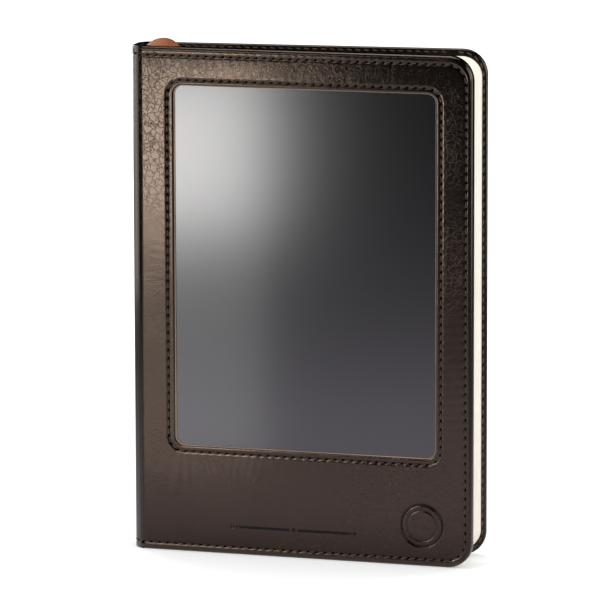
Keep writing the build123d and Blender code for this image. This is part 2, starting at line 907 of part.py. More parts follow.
def build():
    """Every piece of the standing book, by name."""
    pivots = leaf_pivots()
    ribbon = ribbon_marker()
    pieces = {
        "spine_leather": spine_leather(),
        "spine_board": spine_strip(spine_board_x, spine_lining_x, 0, spine_board_end_margin),
        "spine_lining": spine_strip(
            spine_lining_x, spine_lining_x + spine_lining_thickness, 0, spine_board_end_margin
        ),
        "spine_gauze": gauze(),
        "headband_head": headband(page_top_z, 1) - ribbon,
        "headband_tail": headband(page_bottom_z, -1),
        "ribbon_marker": ribbon,
        "back_leather": with_strip(
            cover_leather(1, back_leather_depth, back_board_thickness), 1, back_board_thickness
        ),
        "back_board": board(1, back_board_thickness),
        "back_infill": infill(1, back_board_thickness),
        "back_pastedown": pastedown(1, back_leather_depth),
        "back_flyleaf": leaf(flyleaf_thickness, pivots["back_flyleaf"], 0, 1),
        "back_leaves": leaf(back_leaves_thickness, pivots["back_leaves"], 0, 1),
        "front_leaves_2": leaf(
            front_leaves_2_thickness, pivots["front_leaves_2"], rest_angle(leaves_2_follow), -1
        ),
        "front_leaves_1": leaf(
            front_leaves_1_thickness, pivots["front_leaves_1"], rest_angle(leaves_1_follow), -1
        ),
        "front_flyleaf": leaf(flyleaf_thickness, pivots["front_flyleaf"], rest_angle(flyleaf_follow), -1),
    }
    for index in range(section_count):
        pieces[f"section_{index + 1}"] = section(index)

    infill_depth = front_leather_depth - turn_in_thickness
    closed_front = {
        "front_leather": front_leather(),
        "front_board": front_board(),
        "front_infill": infill(-1, front_board_thickness) - door_room(infill_depth, front_leather_depth),
        "front_pastedown": pastedown(-1, front_leather_depth)
        - door_room(front_leather_depth, front_cover_thickness),
        "module_tray": module_tray(),
        "writing_screen": writing_screen(),
        "screen_backing": screen_backing(),
        "chin_plate": chin_plate(),
        "circuit_board": circuit_board(),
        "control_chip": control_chip(),
        "capacitors": capacitors(),
        "dome_switch": dome_switch(),
        "flex_cable": flex_cable(),
        "coin_cell": coin_cell(),
        "cell_contact_minus": cell_contact_minus(),
        "cell_contact_plus": cell_contact_plus(),
        "battery_door": battery_door(),
        "door_screw": door_screw(),
        "clear_button_leather": clear_button_leather(),
        "clear_button_plunger": clear_button_plunger(),
    }
    pivot = (front_joint.pivot.X, front_joint.pivot.Y)
    for name, piece in closed_front.items():
        pieces[name] = turned(piece, pivot, front_rest_opening)
    return pieces


def middle_of(boxes, axis):
    """The middle of all the boxes along one axis."""
    low = min(getattr(box.min, axis) for box in boxes)
    high = max(getattr(box.max, axis) for box in boxes)
    return (low + high) / 2


pieces = build()
boxes = [piece.bounding_box() for piece in pieces.values()]
to_origin = Pos(-middle_of(boxes, "X"), -middle_of(boxes, "Y"), 0)

os.makedirs("parts", exist_ok=True)
for name, piece in pieces.items():
    export_step(to_origin * piece, f"parts/{name}.step")

print("book thickness", round(book_thickness, 3), "block fan", round(block_fan, 3))
print("front cover closes by", round(front_closing_travel, 3))
print("origin shift", to_origin.position.X, to_origin.position.Y)
for side, joint in (("front", front_joint), ("back", back_joint)):
    print(side, "joint line", joint.pivot.X, joint.pivot.Y, "strip radius", round(joint.radius, 3))
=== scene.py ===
# %% [markdown]
# # A notebook with a writing screen
#
# The object is a hardcover notebook bound in dark leatherette. A liquid-crystal writing screen is let into its
# front cover, and a round patch below it is pressed to clear the screen. The CAD frame gives every place and
# every moving body. This script gives it its skin: leather, thread, paper, ribbon and light.
#
# Flat work is drawn in millimetres, because a stitch is easier to think about as 3.7 than as 0.0037. Each piece
# is shrunk to metres when it is placed on the book.

import json
import random
from math import cos, pi, radians, sin, sqrt

import bmesh
import bpy
from bmesh.types import BMEdge, BMVert
from mathutils import Matrix, Quaternion, Vector
from mathutils.kdtree import KDTree


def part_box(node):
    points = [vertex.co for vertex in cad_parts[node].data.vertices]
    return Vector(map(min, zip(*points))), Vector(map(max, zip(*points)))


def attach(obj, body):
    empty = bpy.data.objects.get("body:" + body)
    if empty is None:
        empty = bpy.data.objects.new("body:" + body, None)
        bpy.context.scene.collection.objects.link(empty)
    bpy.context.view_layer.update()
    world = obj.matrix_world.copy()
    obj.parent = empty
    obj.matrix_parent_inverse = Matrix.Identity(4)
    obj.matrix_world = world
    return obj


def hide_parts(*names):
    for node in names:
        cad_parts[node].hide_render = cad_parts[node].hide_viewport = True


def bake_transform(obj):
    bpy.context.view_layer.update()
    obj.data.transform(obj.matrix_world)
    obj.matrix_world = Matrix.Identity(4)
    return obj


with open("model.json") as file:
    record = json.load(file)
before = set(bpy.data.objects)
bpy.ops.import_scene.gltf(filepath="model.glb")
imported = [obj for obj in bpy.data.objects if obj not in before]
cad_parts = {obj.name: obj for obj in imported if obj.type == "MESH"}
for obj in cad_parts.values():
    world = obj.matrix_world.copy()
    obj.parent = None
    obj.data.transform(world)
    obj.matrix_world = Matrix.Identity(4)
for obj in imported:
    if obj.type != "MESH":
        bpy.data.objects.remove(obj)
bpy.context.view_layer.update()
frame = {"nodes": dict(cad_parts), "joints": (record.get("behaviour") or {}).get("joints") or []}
scene = bpy.context.scene

# %% [markdown]
# ## Camera
#
# The photograph was taken from some way off with a long lens: the upright edges of the book hardly lean. The
# camera stands to the right of the front cover and a little above it. Its angles come from fitting the book's
# outline, and the shift only puts the book where it stands in the picture.

# %% Camera
CAMERA_YAW = radians(13.107)
CAMERA_ELEVATION = radians(9.015)
CAMERA_ROLL = radians(-0.136)
CAMERA_DISTANCE = 2.2
IMAGE_PIXELS = 600
PIXELS_PER_METRE = 2368.3
AIM_PIXEL = (305.74, 303.26)
AIM_HEIGHT = 0.108
SENSOR = 36.0


def direction(yaw, elevation):
    """The direction from the book towards a camera or a lamp. Yaw 0 is straight in front of it."""
    return Vector((sin(yaw) * cos(elevation), -cos(yaw) * cos(elevation), sin(elevation)))


aim = Vector((0.0, 0.0, AIM_HEIGHT))
camera = bpy.data.objects.new("camera", bpy.data.cameras.new("camera"))
scene.collection.objects.link(camera)
camera.data.sensor_width = SENSOR
camera.data.lens = SENSOR * PIXELS_PER_METRE * CAMERA_DISTANCE / IMAGE_PIXELS
camera.data.shift_x = (IMAGE_PIXELS / 2 - AIM_PIXEL[0]) / IMAGE_PIXELS
camera.data.shift_y = (AIM_PIXEL[1] - IMAGE_PIXELS / 2) / IMAGE_PIXELS
towards_camera = direction(CAMERA_YAW, CAMERA_ELEVATION)
camera.location = aim + towards_camera * CAMERA_DISTANCE
camera.rotation_euler = (
    towards_camera.to_track_quat("Z", "Y").to_matrix() @ Matrix.Rotation(CAMERA_ROLL, 3, "Z")
).to_euler()
scene.camera = camera
print("lens", round(camera.data.lens, 1), "at", [round(v, 3) for v in camera.location])

# %% [markdown]
# ## Small helpers for materials
#
# Every finish here is procedural. An effect that several finishes share is a node group with named sockets, and
# the Principled shader stays in the material itself, so that an exporter can bake it. Pale colours are written
# as they look on a screen and turned into linear light, and dark ones are written in linear light.

# %% Material helpers
def screen_colour(red, green, blue):
    """A colour as it looks on a screen, 0 to 255, in linear light."""
    parts = [c / 255 for c in (red, green, blue)]
    return tuple(c / 12.92 if c <= 0.04045 else ((c + 0.055) / 1.055) ** 2.4 for c in parts)


def add_node(tree, kind, inputs=(), **settings):
    """One shader node, with its settings and its inputs, which are values or other nodes' outputs."""
    node = tree.nodes.new("ShaderNode" + kind)
    for name, value in settings.items():
        setattr(node, name, value)
    for name, value in dict(inputs).items():
        if isinstance(value, bpy.types.NodeSocket):
            tree.links.new(value, node.inputs[name])
        else:
            node.inputs[name].default_value = value
    return node


def new_material(name):
    """A material with nodes, and its node tree."""
    made = bpy.data.materials.new(name)
    made.use_nodes = True
    return made, made.node_tree


def start_group(name, inputs, outputs):
    """A shader node group with named float or vector inputs and float outputs."""
    group = bpy.data.node_groups.new(name, "ShaderNodeTree")
    for socket, default in inputs.items():
        kind = "NodeSocketVector" if socket == "Vector" else "NodeSocketFloat"
        made = group.interface.new_socket(socket, in_out="INPUT", socket_type=kind)
        if default is not None:
            made.default_value = default
    for socket in outputs:
        group.interface.new_socket(socket, in_out="OUTPUT", socket_type="NodeSocketFloat")
    return group, group.nodes.new("NodeGroupInput").outputs, group.nodes.new("NodeGroupOutput").inputs


def maths(tree, operation, *values):
    """A sum of one kind over values or other nodes' outputs, as a node output."""
    return add_node(tree, "Math", dict(enumerate(values)), operation=operation).outputs[0]


def multiply(tree, a, b):
    """a times b, as a node output."""
    return maths(tree, "MULTIPLY", a, b)


def weighted(tree, *shares):
    """Several values, each times its weight, added up."""
    total, *others = (multiply(tree, value, weight) for value, weight in shares)
    for other in others:
        total = maths(tree, "ADD", total, other)
    return total


def remap(tree, value, low, high, first=0.0, last=1.0, **settings):
    """A value between low and high, stretched to run from first to last."""
    inputs = {"Value": value, "From Min": low, "From Max": high, "To Min": first, "To Max": last}
    return add_node(tree, "MapRange", inputs, **settings).outputs[0]


def noise(tree, place, scale, detail, output=0):
    """Smooth noise at a place. The output "Color" holds three of them."""
    inputs = {"Vector": place, "Scale": scale, "Detail": detail}
    return add_node(tree, "TexNoise", inputs).outputs[output]


# %% [markdown]
# ## Shared effects
#
# Leatherette has two scales of relief: pebbles about a millimetre wide, and wider cracks that come and go in
# patches where the sheet was stretched over the board. Voronoi cells bent by noise give both, because their
# edges make closed valleys. Cloth is crossed waves, and paper is only fine noise.

# %% Effects: pebbled grain, weave, fibres
def make_grain_group():
    """Pebbles and cracks of leatherette. Scale is pebbles per metre."""
    group, given, result = start_group(
        "leather_grain", {"Vector": None, "Scale": 950.0}, ("Height", "Creases", "Patches")
    )
    place = given["Vector"]

    def cells(bend_scale, bend, scale, detail, width):
        """Closed valleys between cells with crooked edges: 0 in a valley and 1 on the cells."""
        inputs = {0: noise(group, place, bend_scale, 3.0, "Color"), 1: (bend, bend, bend), 2: place}
        bent = add_node(group, "VectorMath", inputs, operation="MULTIPLY_ADD").outputs[0]
        inputs = {"Vector": bent, "Scale": scale, "Detail": detail, "Roughness": 0.6}
        edge = add_node(group, "TexVoronoi", inputs, feature="DISTANCE_TO_EDGE").outputs["Distance"]
        return remap(group, edge, 0.0, width, interpolation_type="SMOOTHSTEP")

    pebbles = cells(900.0, 0.0009, given["Scale"], 0.0, 0.14)
    cracks = cells(420.0, 0.0035, 400.0, 1.0, 0.06)
    patches = noise(group, place, 20.0, 4.0)
    where = remap(group, patches, 0.38, 0.62, 0.05, 1.0)
    tooth = noise(group, place, 2600.0, 2.0)
    swells = noise(group, place, 70.0, 2.0)
    relief = weighted(
        group, (pebbles, 0.17), (tooth, 0.08), (multiply(group, cracks, where), 0.55), (swells, 2.2)
    )
    open_cracks = weighted(group, (maths(group, "SUBTRACT", cracks, 1.0), where), (1.0, 1.0))
    creases = weighted(group, (open_cracks, 0.6), (pebbles, 0.4))
    for value, socket in ((relief, "Height"), (creases, "Creases"), (patches, "Patches")):
        group.links.new(value, result[socket])
    return group


def make_weave_group():
    """Crossed threads. Scale is threads per metre."""
    group, given, result = start_group("weave", {"Vector": None, "Scale": 3000.0}, ("Height", "Warp"))
    inputs = {"Vector": given["Vector"], "Scale": given["Scale"], "Distortion": 0.3}
    waves = [add_node(group, "TexWave", inputs, bands_direction=axis) for axis in "XYZ"]
    heights = [wave.outputs["Fac"] for wave in waves]
    crossed = multiply(group, maths(group, "ADD", heights[0], heights[1]), heights[2])
    group.links.new(crossed, result["Height"])
    group.links.new(heights[2], result["Warp"])
    return group


def make_fibre_group():
    """The fine tooth of paper, card, foam or moulded plastic. Scale is grains per metre."""
    group, given, result = start_group("fine_tooth", {"Vector": None, "Scale": 3000.0}, ("Height", "Clouds"))
    group.links.new(noise(group, given["Vector"], given["Scale"], 5.0), result["Height"])
    group.links.new(noise(group, given["Vector"], 40.0, 3.0), result["Clouds"])
    return group


effects = {"grain": make_grain_group(), "weave": make_weave_group(), "tooth": make_fibre_group()}
print("shared effects", sorted(effects))

# %% [markdown]
# ## Finishes
#
# The leatherette is nearly black and a little brown, and most of what the eye sees on it is the lamp's soft
# reflection, so its specular light is tinted warm. The screen film is almost black too, but it has no grain, so
# the same lamp draws a clear bright patch on it. Everything inside the book gets its own quiet finish.

# %% Finishes
materials = {}


SPREAD = {"grain": "Patches", "weave": "Warp", "tooth": "Clouds"}
SPREAD_START, SPREAD_END = 0.3, 0.7


def finish(name, effect, scale, dark, light, roughness, bump, spread=None, **sockets):
    """A Principled material whose colour, gloss and relief vary with one of the shared effects.

    Colours are linear, or as on a screen when they go up to 255. A bump is a strength and a distance.
    """
    made, tree = new_material(name)
    shader = tree.nodes["Principled BSDF"]
    place = add_node(tree, "TexCoord").outputs["Object"]
    look = add_node(tree, "Group", {}, node_tree=effects[effect])
    tree.links.new(place, look.inputs["Vector"])
    look.inputs["Scale"].default_value = scale
    ramp = add_node(tree, "ValToRGB", {"Fac": look.outputs[spread or SPREAD[effect]]})
    for stop, at, colour in zip(ramp.color_ramp.elements, (SPREAD_START, SPREAD_END), (dark, light)):
        stop.position = at
        stop.color = (*(screen_colour(*colour) if max(colour) > 1 else colour), 1.0)
    worn = look.outputs["Creases" if effect == "grain" else "Height"]
    depth = {"Height": look.outputs["Height"], "Strength": bump[0], "Distance": bump[1]}
    tree.links.new(ramp.outputs["Color"], shader.inputs["Base Color"])
    tree.links.new(remap(tree, worn, 0.0, 1.0, *roughness), shader.inputs["Roughness"])
    tree.links.new(add_node(tree, "Bump", depth).outputs[0], shader.inputs["Normal"])
    for socket, value in sockets.items():
        shader.inputs[socket.replace("_", " ")].default_value = value
    materials[name] = made


WARM = (1.0, 0.75, 0.58, 1.0)
PLAIN_FINISHES = (
    ("cut_leather", "grain", 700.0, (120, 98, 80), (176, 150, 126), (0.7, 0.55), (0.5, 0.00006)),
    ("inner_thread", "weave", 9000.0, (58, 44, 32), (112, 90, 66), (0.6, 0.4), (0.6, 0.00006)),
    ("board", "tooth", 900.0, (140, 131, 118), (176, 167, 152), (0.95, 0.85), (0.5, 0.0002)),
    ("gauze_cloth", "weave", 1500.0, (205, 196, 178), (232, 226, 212), (0.95, 0.85), (0.8, 0.0003)),
    ("headband_cloth", "weave", 700.0, (52, 40, 33), (190, 172, 148), (0.7, 0.5), (0.8, 0.0002), "Height"),
    ("black_foam", "tooth", 2400.0, (0.012, 0.012, 0.012), (0.03, 0.03, 0.03), (0.98, 0.9), (0.9, 0.0003)),
    ("black_plastic", "tooth", 2200.0, (0.018, 0.018, 0.02), (0.028, 0.028, 0.03), (0.6, 0.45), (0.4, 0.0001)),
    ("chip_plastic", "tooth", 5000.0, (0.015, 0.015, 0.017), (0.03, 0.03, 0.033), (0.7, 0.55), (0.5, 0.0001)),
    ("ceramic", "tooth", 3000.0, (0.30, 0.20, 0.11), (0.42, 0.30, 0.18), (0.5, 0.4), (0.3, 0.0001)),
    ("amber_film", "tooth", 1500.0, (0.42, 0.18, 0.03), (0.55, 0.27, 0.06), (0.3, 0.2), (0.1, 0.0001)),
)
for row in PLAIN_FINISHES:
    finish(*row)
finish(
    "cover_leather", "grain", 1050.0, (0.0014, 0.0011, 0.0009), (0.0028, 0.0021, 0.0017), (0.24, 0.13),
    (1.0, 0.000045), Specular_Tint=WARM, Specular_IOR_Level=0.6,
)
# The pressed lines' finish: darker and duller than the field, painted shade in the recess.
finish(
    "pressed_leather_shaded", "grain", 700.0, (0.0008, 0.0006, 0.0005), (0.0014, 0.001, 0.0008), (0.7, 0.5),
    (0.5, 0.00004), Specular_IOR_Level=0.2,
)
finish(
    "thread", "weave", 9000.0, (0.014, 0.0105, 0.008), (0.034, 0.026, 0.019), (0.36, 0.24), (0.6, 0.00006),
    Specular_Tint=WARM, Specular_IOR_Level=0.8,
)
# Black beads in the stitch holes: painted shade for the holes' depth.
finish(
    "hole_shade_bead", "tooth", 4000.0, (0.0006, 0.0005, 0.0004), (0.0012, 0.001, 0.0008), (1.0, 0.95),
    (0.2, 0.00005), Specular_IOR_Level=0.0,
)
finish(
    "page_paper", "tooth", 5200.0, (247, 242, 228), (253, 249, 238), (0.9, 0.8), (0.2, 0.00004),
    Specular_IOR_Level=0.3,
)
finish(
    "end_paper", "tooth", 2600.0, (240, 233, 216), (248, 242, 228), (0.85, 0.75), (0.3, 0.00006),
    Specular_IOR_Level=0.3,
)
finish(
    "ribbon", "weave", 2600.0, (132, 68, 34), (180, 106, 60), (0.45, 0.3), (0.35, 0.00008),
    Sheen_Weight=0.25, Sheen_Roughness=0.4,
)
finish(
    "screen_film", "tooth", 700.0, (0.0010, 0.0010, 0.0012), (0.0014, 0.0014, 0.0018), (0.19, 0.18),
    (0.04, 0.00004), Specular_IOR_Level=0.9,
)
finish(
    "solder_mask", "tooth", 900.0, (0.01, 0.09, 0.035), (0.018, 0.13, 0.05), (0.35, 0.25), (0.2, 0.0001),
    Coat_Weight=0.4,
)
finish(
    "steel", "tooth", 1800.0, (0.50, 0.50, 0.51), (0.66, 0.66, 0.67), (0.34, 0.22), (0.15, 0.0001),
    Metallic=1.0,
)
print("finishes", len(materials))

# %% [markdown]
# ## Measuring the frame
#
# The front cover stands a few degrees open, so its skin is drawn flat and then laid on the cover's own plane.
# The clear button is pressed straight into the cover, and so the axis of its joint is the cover's inward
# direction. How far a node reaches along a direction gives the rest.

# %% Measure the covers and joints
TO_MM = 1000.0
METRES = Matrix.Scale(0.001, 4)
UP = Vector((0.0, 0.0, 1.0))


def joint(name):
    """One joint of the record."""
    return next(j for j in frame["joints"] if j["name"] == name)


def reach(node, towards):
    """How far a node reaches along a direction: lowest and highest, in millimetres."""
    places = [v.co.dot(towards) * TO_MM for v in frame["nodes"][node].data.vertices]
    return min(places), max(places)


def lowest(node):
    """The lower corner of a node's box, in millimetres."""
    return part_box(node)[0] * TO_MM


def highest(node):
    """The upper corner of a node's box, in millimetres."""
    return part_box(node)[1] * TO_MM


class Cover:
    """The plane of one cover: X runs from the crease to the fore edge, Y up, and Z out of its face."""

    def __init__(self, side, inward, along):
        self.side = side
        self.inward = inward
        face, inside = reach(f"{side}_leather", inward)
        crease = reach(f"{side}_board", along)[0]
        self.width = reach(f"{side}_leather", along)[1] - crease
        self.height = highest(f"{side}_leather").z
        self.depth = inside - face
        self.corner = along * crease + inward * face
        axes = Matrix((along, UP, -inward)).transposed().to_4x4()
        self.place = METRES @ Matrix.Translation(self.corner) @ axes


press = Vector(joint("clear_button_press")["axis"])
front = Cover("front", press, Vector((press.y, -press.x, 0.0)))
back = Cover("back", Vector((0.0, -1.0, 0.0)), Vector((1.0, 0.0, 0.0)))
for cover in (front, back):
    print(cover.side, [round(v, 2) for v in (cover.width, cover.height, cover.depth)])

# %% [markdown]
# ## Making pieces from flat work
#
# Most of the skin is built in rings. A flat face with round corners is inset again and again, and each new ring
# is moved up or down, which gives round edges, stitch channels and the window's bevel with even quads. The
# window, the well and the pressed ornament all use the same two helpers. Only the thread is made of beads.

# %% Ring helpers
EDGE_DIVISION = 0.925
CORNER_KEPT = 12.0


def rectangle(bm, left, right, bottom, top, level=0.0):
    """The corners of a new flat face with four sides."""
    spots = ((left, bottom), (right, bottom), (right, top), (left, top))
    corners = [bm.verts.new((x, y, level)) for x, y in spots]
    bm.faces.new(corners)
    return corners


def round_corners(bm, corners, radius, segments):
    """Rounds some corners of a flat face, and returns the face."""
    made = bmesh.ops.bevel(
        bm, geom=corners, offset=radius, offset_type="OFFSET", segments=segments, profile=0.5,
        affect="VERTICES", material=-1,
    )
    return made["verts"][0].link_faces[0]


def rounded_sheet(bm, left, right, bottom, top, radius, level=0.0):
    """A flat face with round corners, whose straight edges are divided into steps."""
    face = round_corners(bm, rectangle(bm, left, right, bottom, top, level), radius, 12)
    for edge in [e for e in face.edges if e.calc_length() > 2 * EDGE_DIVISION]:
        bmesh.ops.bisect_edges(bm, edges=[edge], cuts=round(edge.calc_length() / EDGE_DIVISION) - 1)
    return face


# Finish slots: plain leather, the pale cut edge, and the darker pressed finish that is painted shade in
# recesses.
PLAIN, CUT, PRESSED_SHADED = range(3)


def terrace(bm, face, inset, rise, finish_index=PLAIN):
    """One more ring inside a face, that much further in and higher."""
    ring = bmesh.ops.inset_region(
        bm, faces=[face], thickness=inset, use_boundary=True, use_even_offset=True
    )["faces"]
    for part in ring:
        part.material_index = finish_index
    bmesh.ops.translate(bm, verts=face.verts[:], vec=(0.0, 0.0, rise))


def terraces(bm, face, steps, finish_index=PLAIN):
    """Several rings, one inside the other."""
    for inset, rise in steps:
        terrace(bm, face, inset, rise, finish_index)


def quarter_round(radius, count, sense=1):
    """Rings that turn a wall into a flat face over a round edge."""
    turns = [radians(90) * i / count for i in range(count + 1)]
    pairs = zip(turns, turns[1:])
    return [(radius * (cos(a) - cos(b)), sense * radius * (sin(b) - sin(a))) for a, b in pairs]


def slide_ring(face, left, right, bottom, top):
    """Slides the four sides of a face to new places. Corners keep their shape and the sides stretch evenly."""
    for axis, low, high in ((0, left, right), (1, bottom, top)):
        places = [v.co[axis] for v in face.verts]
        first, last = min(places) + CORNER_KEPT, max(places) - CORNER_KEPT
        shifts = (low - min(places), high - max(places))
        for v in face.verts:
            share = min(1.0, max(0.0, (v.co[axis] - first) / (last - first)))
            v.co[axis] += shifts[0] + (shifts[1] - shifts[0]) * share


def cut(bm, place, away, clear):
    """Cuts the work along a plane, and can clear what lies on the plane's outer side."""
    geometry = bm.verts[:] + bm.edges[:] + bm.faces[:]
    bmesh.ops.bisect_plane(bm, geom=geometry, plane_co=place, plane_no=away, clear_outer=clear)


def only(kind, geometry):
    """The vertices, or the edges, among what an operator made."""
    return [g for g in geometry if isinstance(g, kind)]


def close_up(bm):
    """Fills the holes that are left and turns every face outward."""
    bmesh.ops.holes_fill(bm, edges=[e for e in bm.edges if e.is_boundary], sides=0)
    bmesh.ops.recalc_face_normals(bm, faces=bm.faces)


def to_object(bm, name):
    """Puts finished work into the scene as an object."""
    mesh = bpy.data.meshes.new(name)
    bm.to_mesh(mesh)
    bm.free()
    made = bpy.data.objects.new(name, mesh)
    scene.collection.objects.link(made)
    return made


def place_piece(bm, name, place=METRES, finishes=("cover_leather",)):
    """Puts finished flat work on the book as an object."""
    bmesh.ops.transform(bm, matrix=place, verts=bm.verts)
    if place.determinant() < 0:
        bmesh.ops.reverse_faces(bm, faces=bm.faces)
    piece = to_object(bm, name)
    mesh = piece.data
    mesh.polygons.foreach_set("use_smooth", [True] * len(mesh.polygons))
    mesh.set_sharp_from_angle(angle=radians(40))
    for used in finishes:
        mesh.materials.append(materials[used])
    print(name, "faces", len(mesh.polygons))
    return piece


# %% [markdown]
# ## Where the thread runs
#
# The seam runs along the tail, up the fore edge and back along the head, and over both joints on to the spine.
# It never runs along the crease. A second seam goes round the window. Each seam is a line of holes, a stitch
# from each hole to the next, and the leather is drawn down round each hole. A black bead sunk in each hole is
# painted shade for the hole's depth.

# %% Stitch lines
STITCH_PITCH = 3.7
HEAD_SEAM = 3.5
TAIL_SEAM = 3.2
FORE_SEAM = {"front": 2.5, "back": 2.3}
OUTLINE_RADIUS = 10.5
THREAD_RADIUS = 0.34
THREAD_SHARE = 0.36
STITCH_LEAN = radians(7)
HOLE_RADIUS = 1.15
HOLE_DEPTH = 0.22
HOLE_SHADE_SIZE = (0.56, 0.42, 0.22)
STITCH_SUNK = 0.10
HOLE_SHADE_SUNK = 0.24
BATCH = 10


def arc(centre, radius, start, end, count=14):
    """Points along an arc in the flat plane, with angles in degrees."""
    turns = [radians(start + (end - start) * i / count) for i in range(count + 1)]
    return [Vector((centre[0] + radius * cos(t), centre[1] + radius * sin(t), 0.0)) for t in turns]


def corner_arcs(left, right, bottom, top, radius, quarters):
    """The round corners of an outline. Quarter 0 is the lower left one, and the others follow round it."""
    line = []
    for quarter in quarters:
        x = left + radius if quarter in (0, 3) else right - radius
        y = bottom + radius if quarter in (0, 1) else top - radius
        line += arc((x, y), radius, 180 + 90 * quarter, 270 + 90 * quarter)
    return line


def cover_seam(cover, fore, tail, head):
    """The line of a seam round one cover, from the crease at the tail to the crease at the head."""
    top = cover.height - head
    line = corner_arcs(0.0, cover.width - fore, tail, top, OUTLINE_RADIUS - fore, (1, 2))
    return [Vector((0.0, tail, 0.0)), *line, Vector((0.0, top, 0.0))]


def closed_seam(left, right, bottom, top, radius):
    """The line of a seam round a window."""
    line = corner_arcs(left, right, bottom, top, radius, (0, 1, 2, 3))
    return line + [line[0]]


def stitch_holes(line):
    """Holes along a line, evenly spaced and as near to the pitch as its length allows."""
    runs = [(a, b, (b - a).length) for a, b in zip(line, line[1:])]
    total = sum(length for _, _, length in runs)
    count = max(1, round(total / STITCH_PITCH))
    holes = []
    walked = 0.0
    for a, b, length in runs:
        while len(holes) <= count and total * len(holes) / count <= walked + length + 1e-6:
            share = (total * len(holes) / count - walked) / length
            holes.append(a.lerp(b, share))
        walked += length
    return holes


def draw_down(bm, holes, out):
    """Draws the leather down round each hole."""
    tree = KDTree(len(bm.verts))
    bm.verts.ensure_lookup_table()
    for v in bm.verts:
        tree.insert(v.co, v.index)
    tree.balance()
    bm.verts.index_update()
    for hole in holes:
        for _, index, distance in tree.find_range(hole, HOLE_RADIUS):
            near = 1 - (distance / HOLE_RADIUS) ** 2
            bm.verts[index].co -= out * HOLE_DEPTH * near * near


def add_bead(bm, middle, run, out, size, finish_index):
    """A small long bead along a seam that leans a little to one side."""
    axes = Matrix((run.normalized(), out.cross(run.normalized()), out)).transposed().to_4x4()
    lean = Quaternion(out, STITCH_LEAN).to_matrix().to_4x4()
    lengthways = Matrix.Rotation(radians(90), 4, "Y")
    place = Matrix.Translation(middle) @ lean @ axes @ Matrix.Diagonal((*size, 1.0)) @ lengthways
    made = bmesh.ops.create_uvsphere(bm, u_segments=8, v_segments=5, radius=1.0, matrix=place)
    for face in {f for v in made["verts"] for f in v.link_faces}:
        face.material_index = finish_index


def add_stitches(bm, holes, outs):
    """Thread from hole to hole, and a black bead in each hole, painted shade for its depth. Small batches keep
    the operators quick.
    """
    for first in range(0, len(holes) - 1, BATCH):
        part = bmesh.new()
        for i in range(first, min(first + BATCH, len(holes) - 1)):
            start, end = holes[i], holes[i + 1]
            out = (outs[i] + outs[i + 1]).normalized()
            run = end - start
            size = (run.length * THREAD_SHARE, THREAD_RADIUS, THREAD_RADIUS * 0.85)
            add_bead(part, (start + end) / 2 - out * STITCH_SUNK, run, out, size, 0)
            # A black bead sunk in the hole: painted shade for its depth.
            add_bead(part, start - outs[i] * HOLE_SHADE_SUNK, run, outs[i], HOLE_SHADE_SIZE, 1)
        carrier = bpy.data.meshes.new("stitch_batch")
        part.to_mesh(carrier)
        part.free()
        bm.from_mesh(carrier)
        bpy.data.meshes.remove(carrier)


def seam_thread(name, holes, out, place, body, finishes=("thread", "hole_shade_bead")):
    """All the stitches of one seam as one piece on a body."""
    bm = bmesh.new()
    add_stitches(bm, holes, [out] * len(holes))
    thread = place_piece(bm, name, place, finishes)
    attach(thread, body)


# %% [markdown]
# ## The leather over a cover
#
# On the real book the leather is wrapped round a board, folded over its edge and glued inside. Here it is two
# sheets that meet at the cover's edge: an outer one with a round edge and the stitch channel, and an inner one
# that runs under the endpaper. Both are drawn twice as wide as the cover, mirrored about the crease, so that
# every ring is closed. A cut along the crease then leaves a channel on three sides only.

# %% Cover shell
OUTER_ROUND = 1.7
INNER_ROUND = 1.0
TURN_IN_SHOWN = 9.0
CHANNEL = ((0.35, -0.09), (0.25, -0.15), (0.30, 0.0), (0.25, 0.15), (0.35, 0.09))
CHANNEL_WIDTH = sum(inset for inset, _ in CHANNEL)
CREASE_ROLL = 1.4
CREASE_DROP = 0.35
EDGE_STEP = 0.06
FIELD_MARGIN = 0.8
SEAM_BETWEEN_SHEETS = 0.01
CREASE_CUTS = (0.0, 0.35, 0.7, 1.0, 1.3)
WELD_DISTANCE = 0.001
LEVEL_TOLERANCE = 1e-5


def cover_shell(bm, cover):
    """Both sheets of a cover's leather, mirrored about the crease, with the field still open."""
    seam = FORE_SEAM[cover.side]
    outline = (-cover.width, cover.width, 0.0, cover.height, OUTLINE_RADIUS, -OUTER_ROUND)
    outer = rounded_sheet(bm, *outline)
    terraces(bm, outer, quarter_round(OUTER_ROUND, 6))
    terrace(bm, outer, EDGE_STEP, 0.0)
    edge = seam - CHANNEL_WIDTH / 2
    bottom, top = TAIL_SEAM - CHANNEL_WIDTH / 2, cover.height - HEAD_SEAM + CHANNEL_WIDTH / 2
    slide_ring(outer, edge - cover.width, cover.width - edge, bottom, top)
    terraces(bm, outer, CHANNEL)
    terrace(bm, outer, FIELD_MARGIN, 0.0)

    inner = rounded_sheet(bm, *outline)
    bmesh.ops.reverse_faces(bm, faces=[inner])
    terrace(bm, inner, SEAM_BETWEEN_SHEETS, OUTER_ROUND + INNER_ROUND - cover.depth)
    terraces(bm, inner, quarter_round(INNER_ROUND, 4, sense=-1))
    terrace(bm, inner, TURN_IN_SHOWN - INNER_ROUND, 0.0)
    bmesh.ops.delete(bm, geom=[outer, inner], context="FACES_ONLY")
    bmesh.ops.remove_doubles(bm, verts=bm.verts, dist=WELD_DISTANCE)


def fill_field(bm):
    """Fills the flat field between the outer channel and whatever is let into it."""
    level = [e for e in bm.edges if max(abs(v.co.z) for v in e.verts) < LEVEL_TOLERANCE]
    rim = [e for e in level if e.is_boundary]
    bmesh.ops.triangle_fill(bm, use_beauty=True, use_dissolve=False, edges=rim, normal=(0, 0, 1))


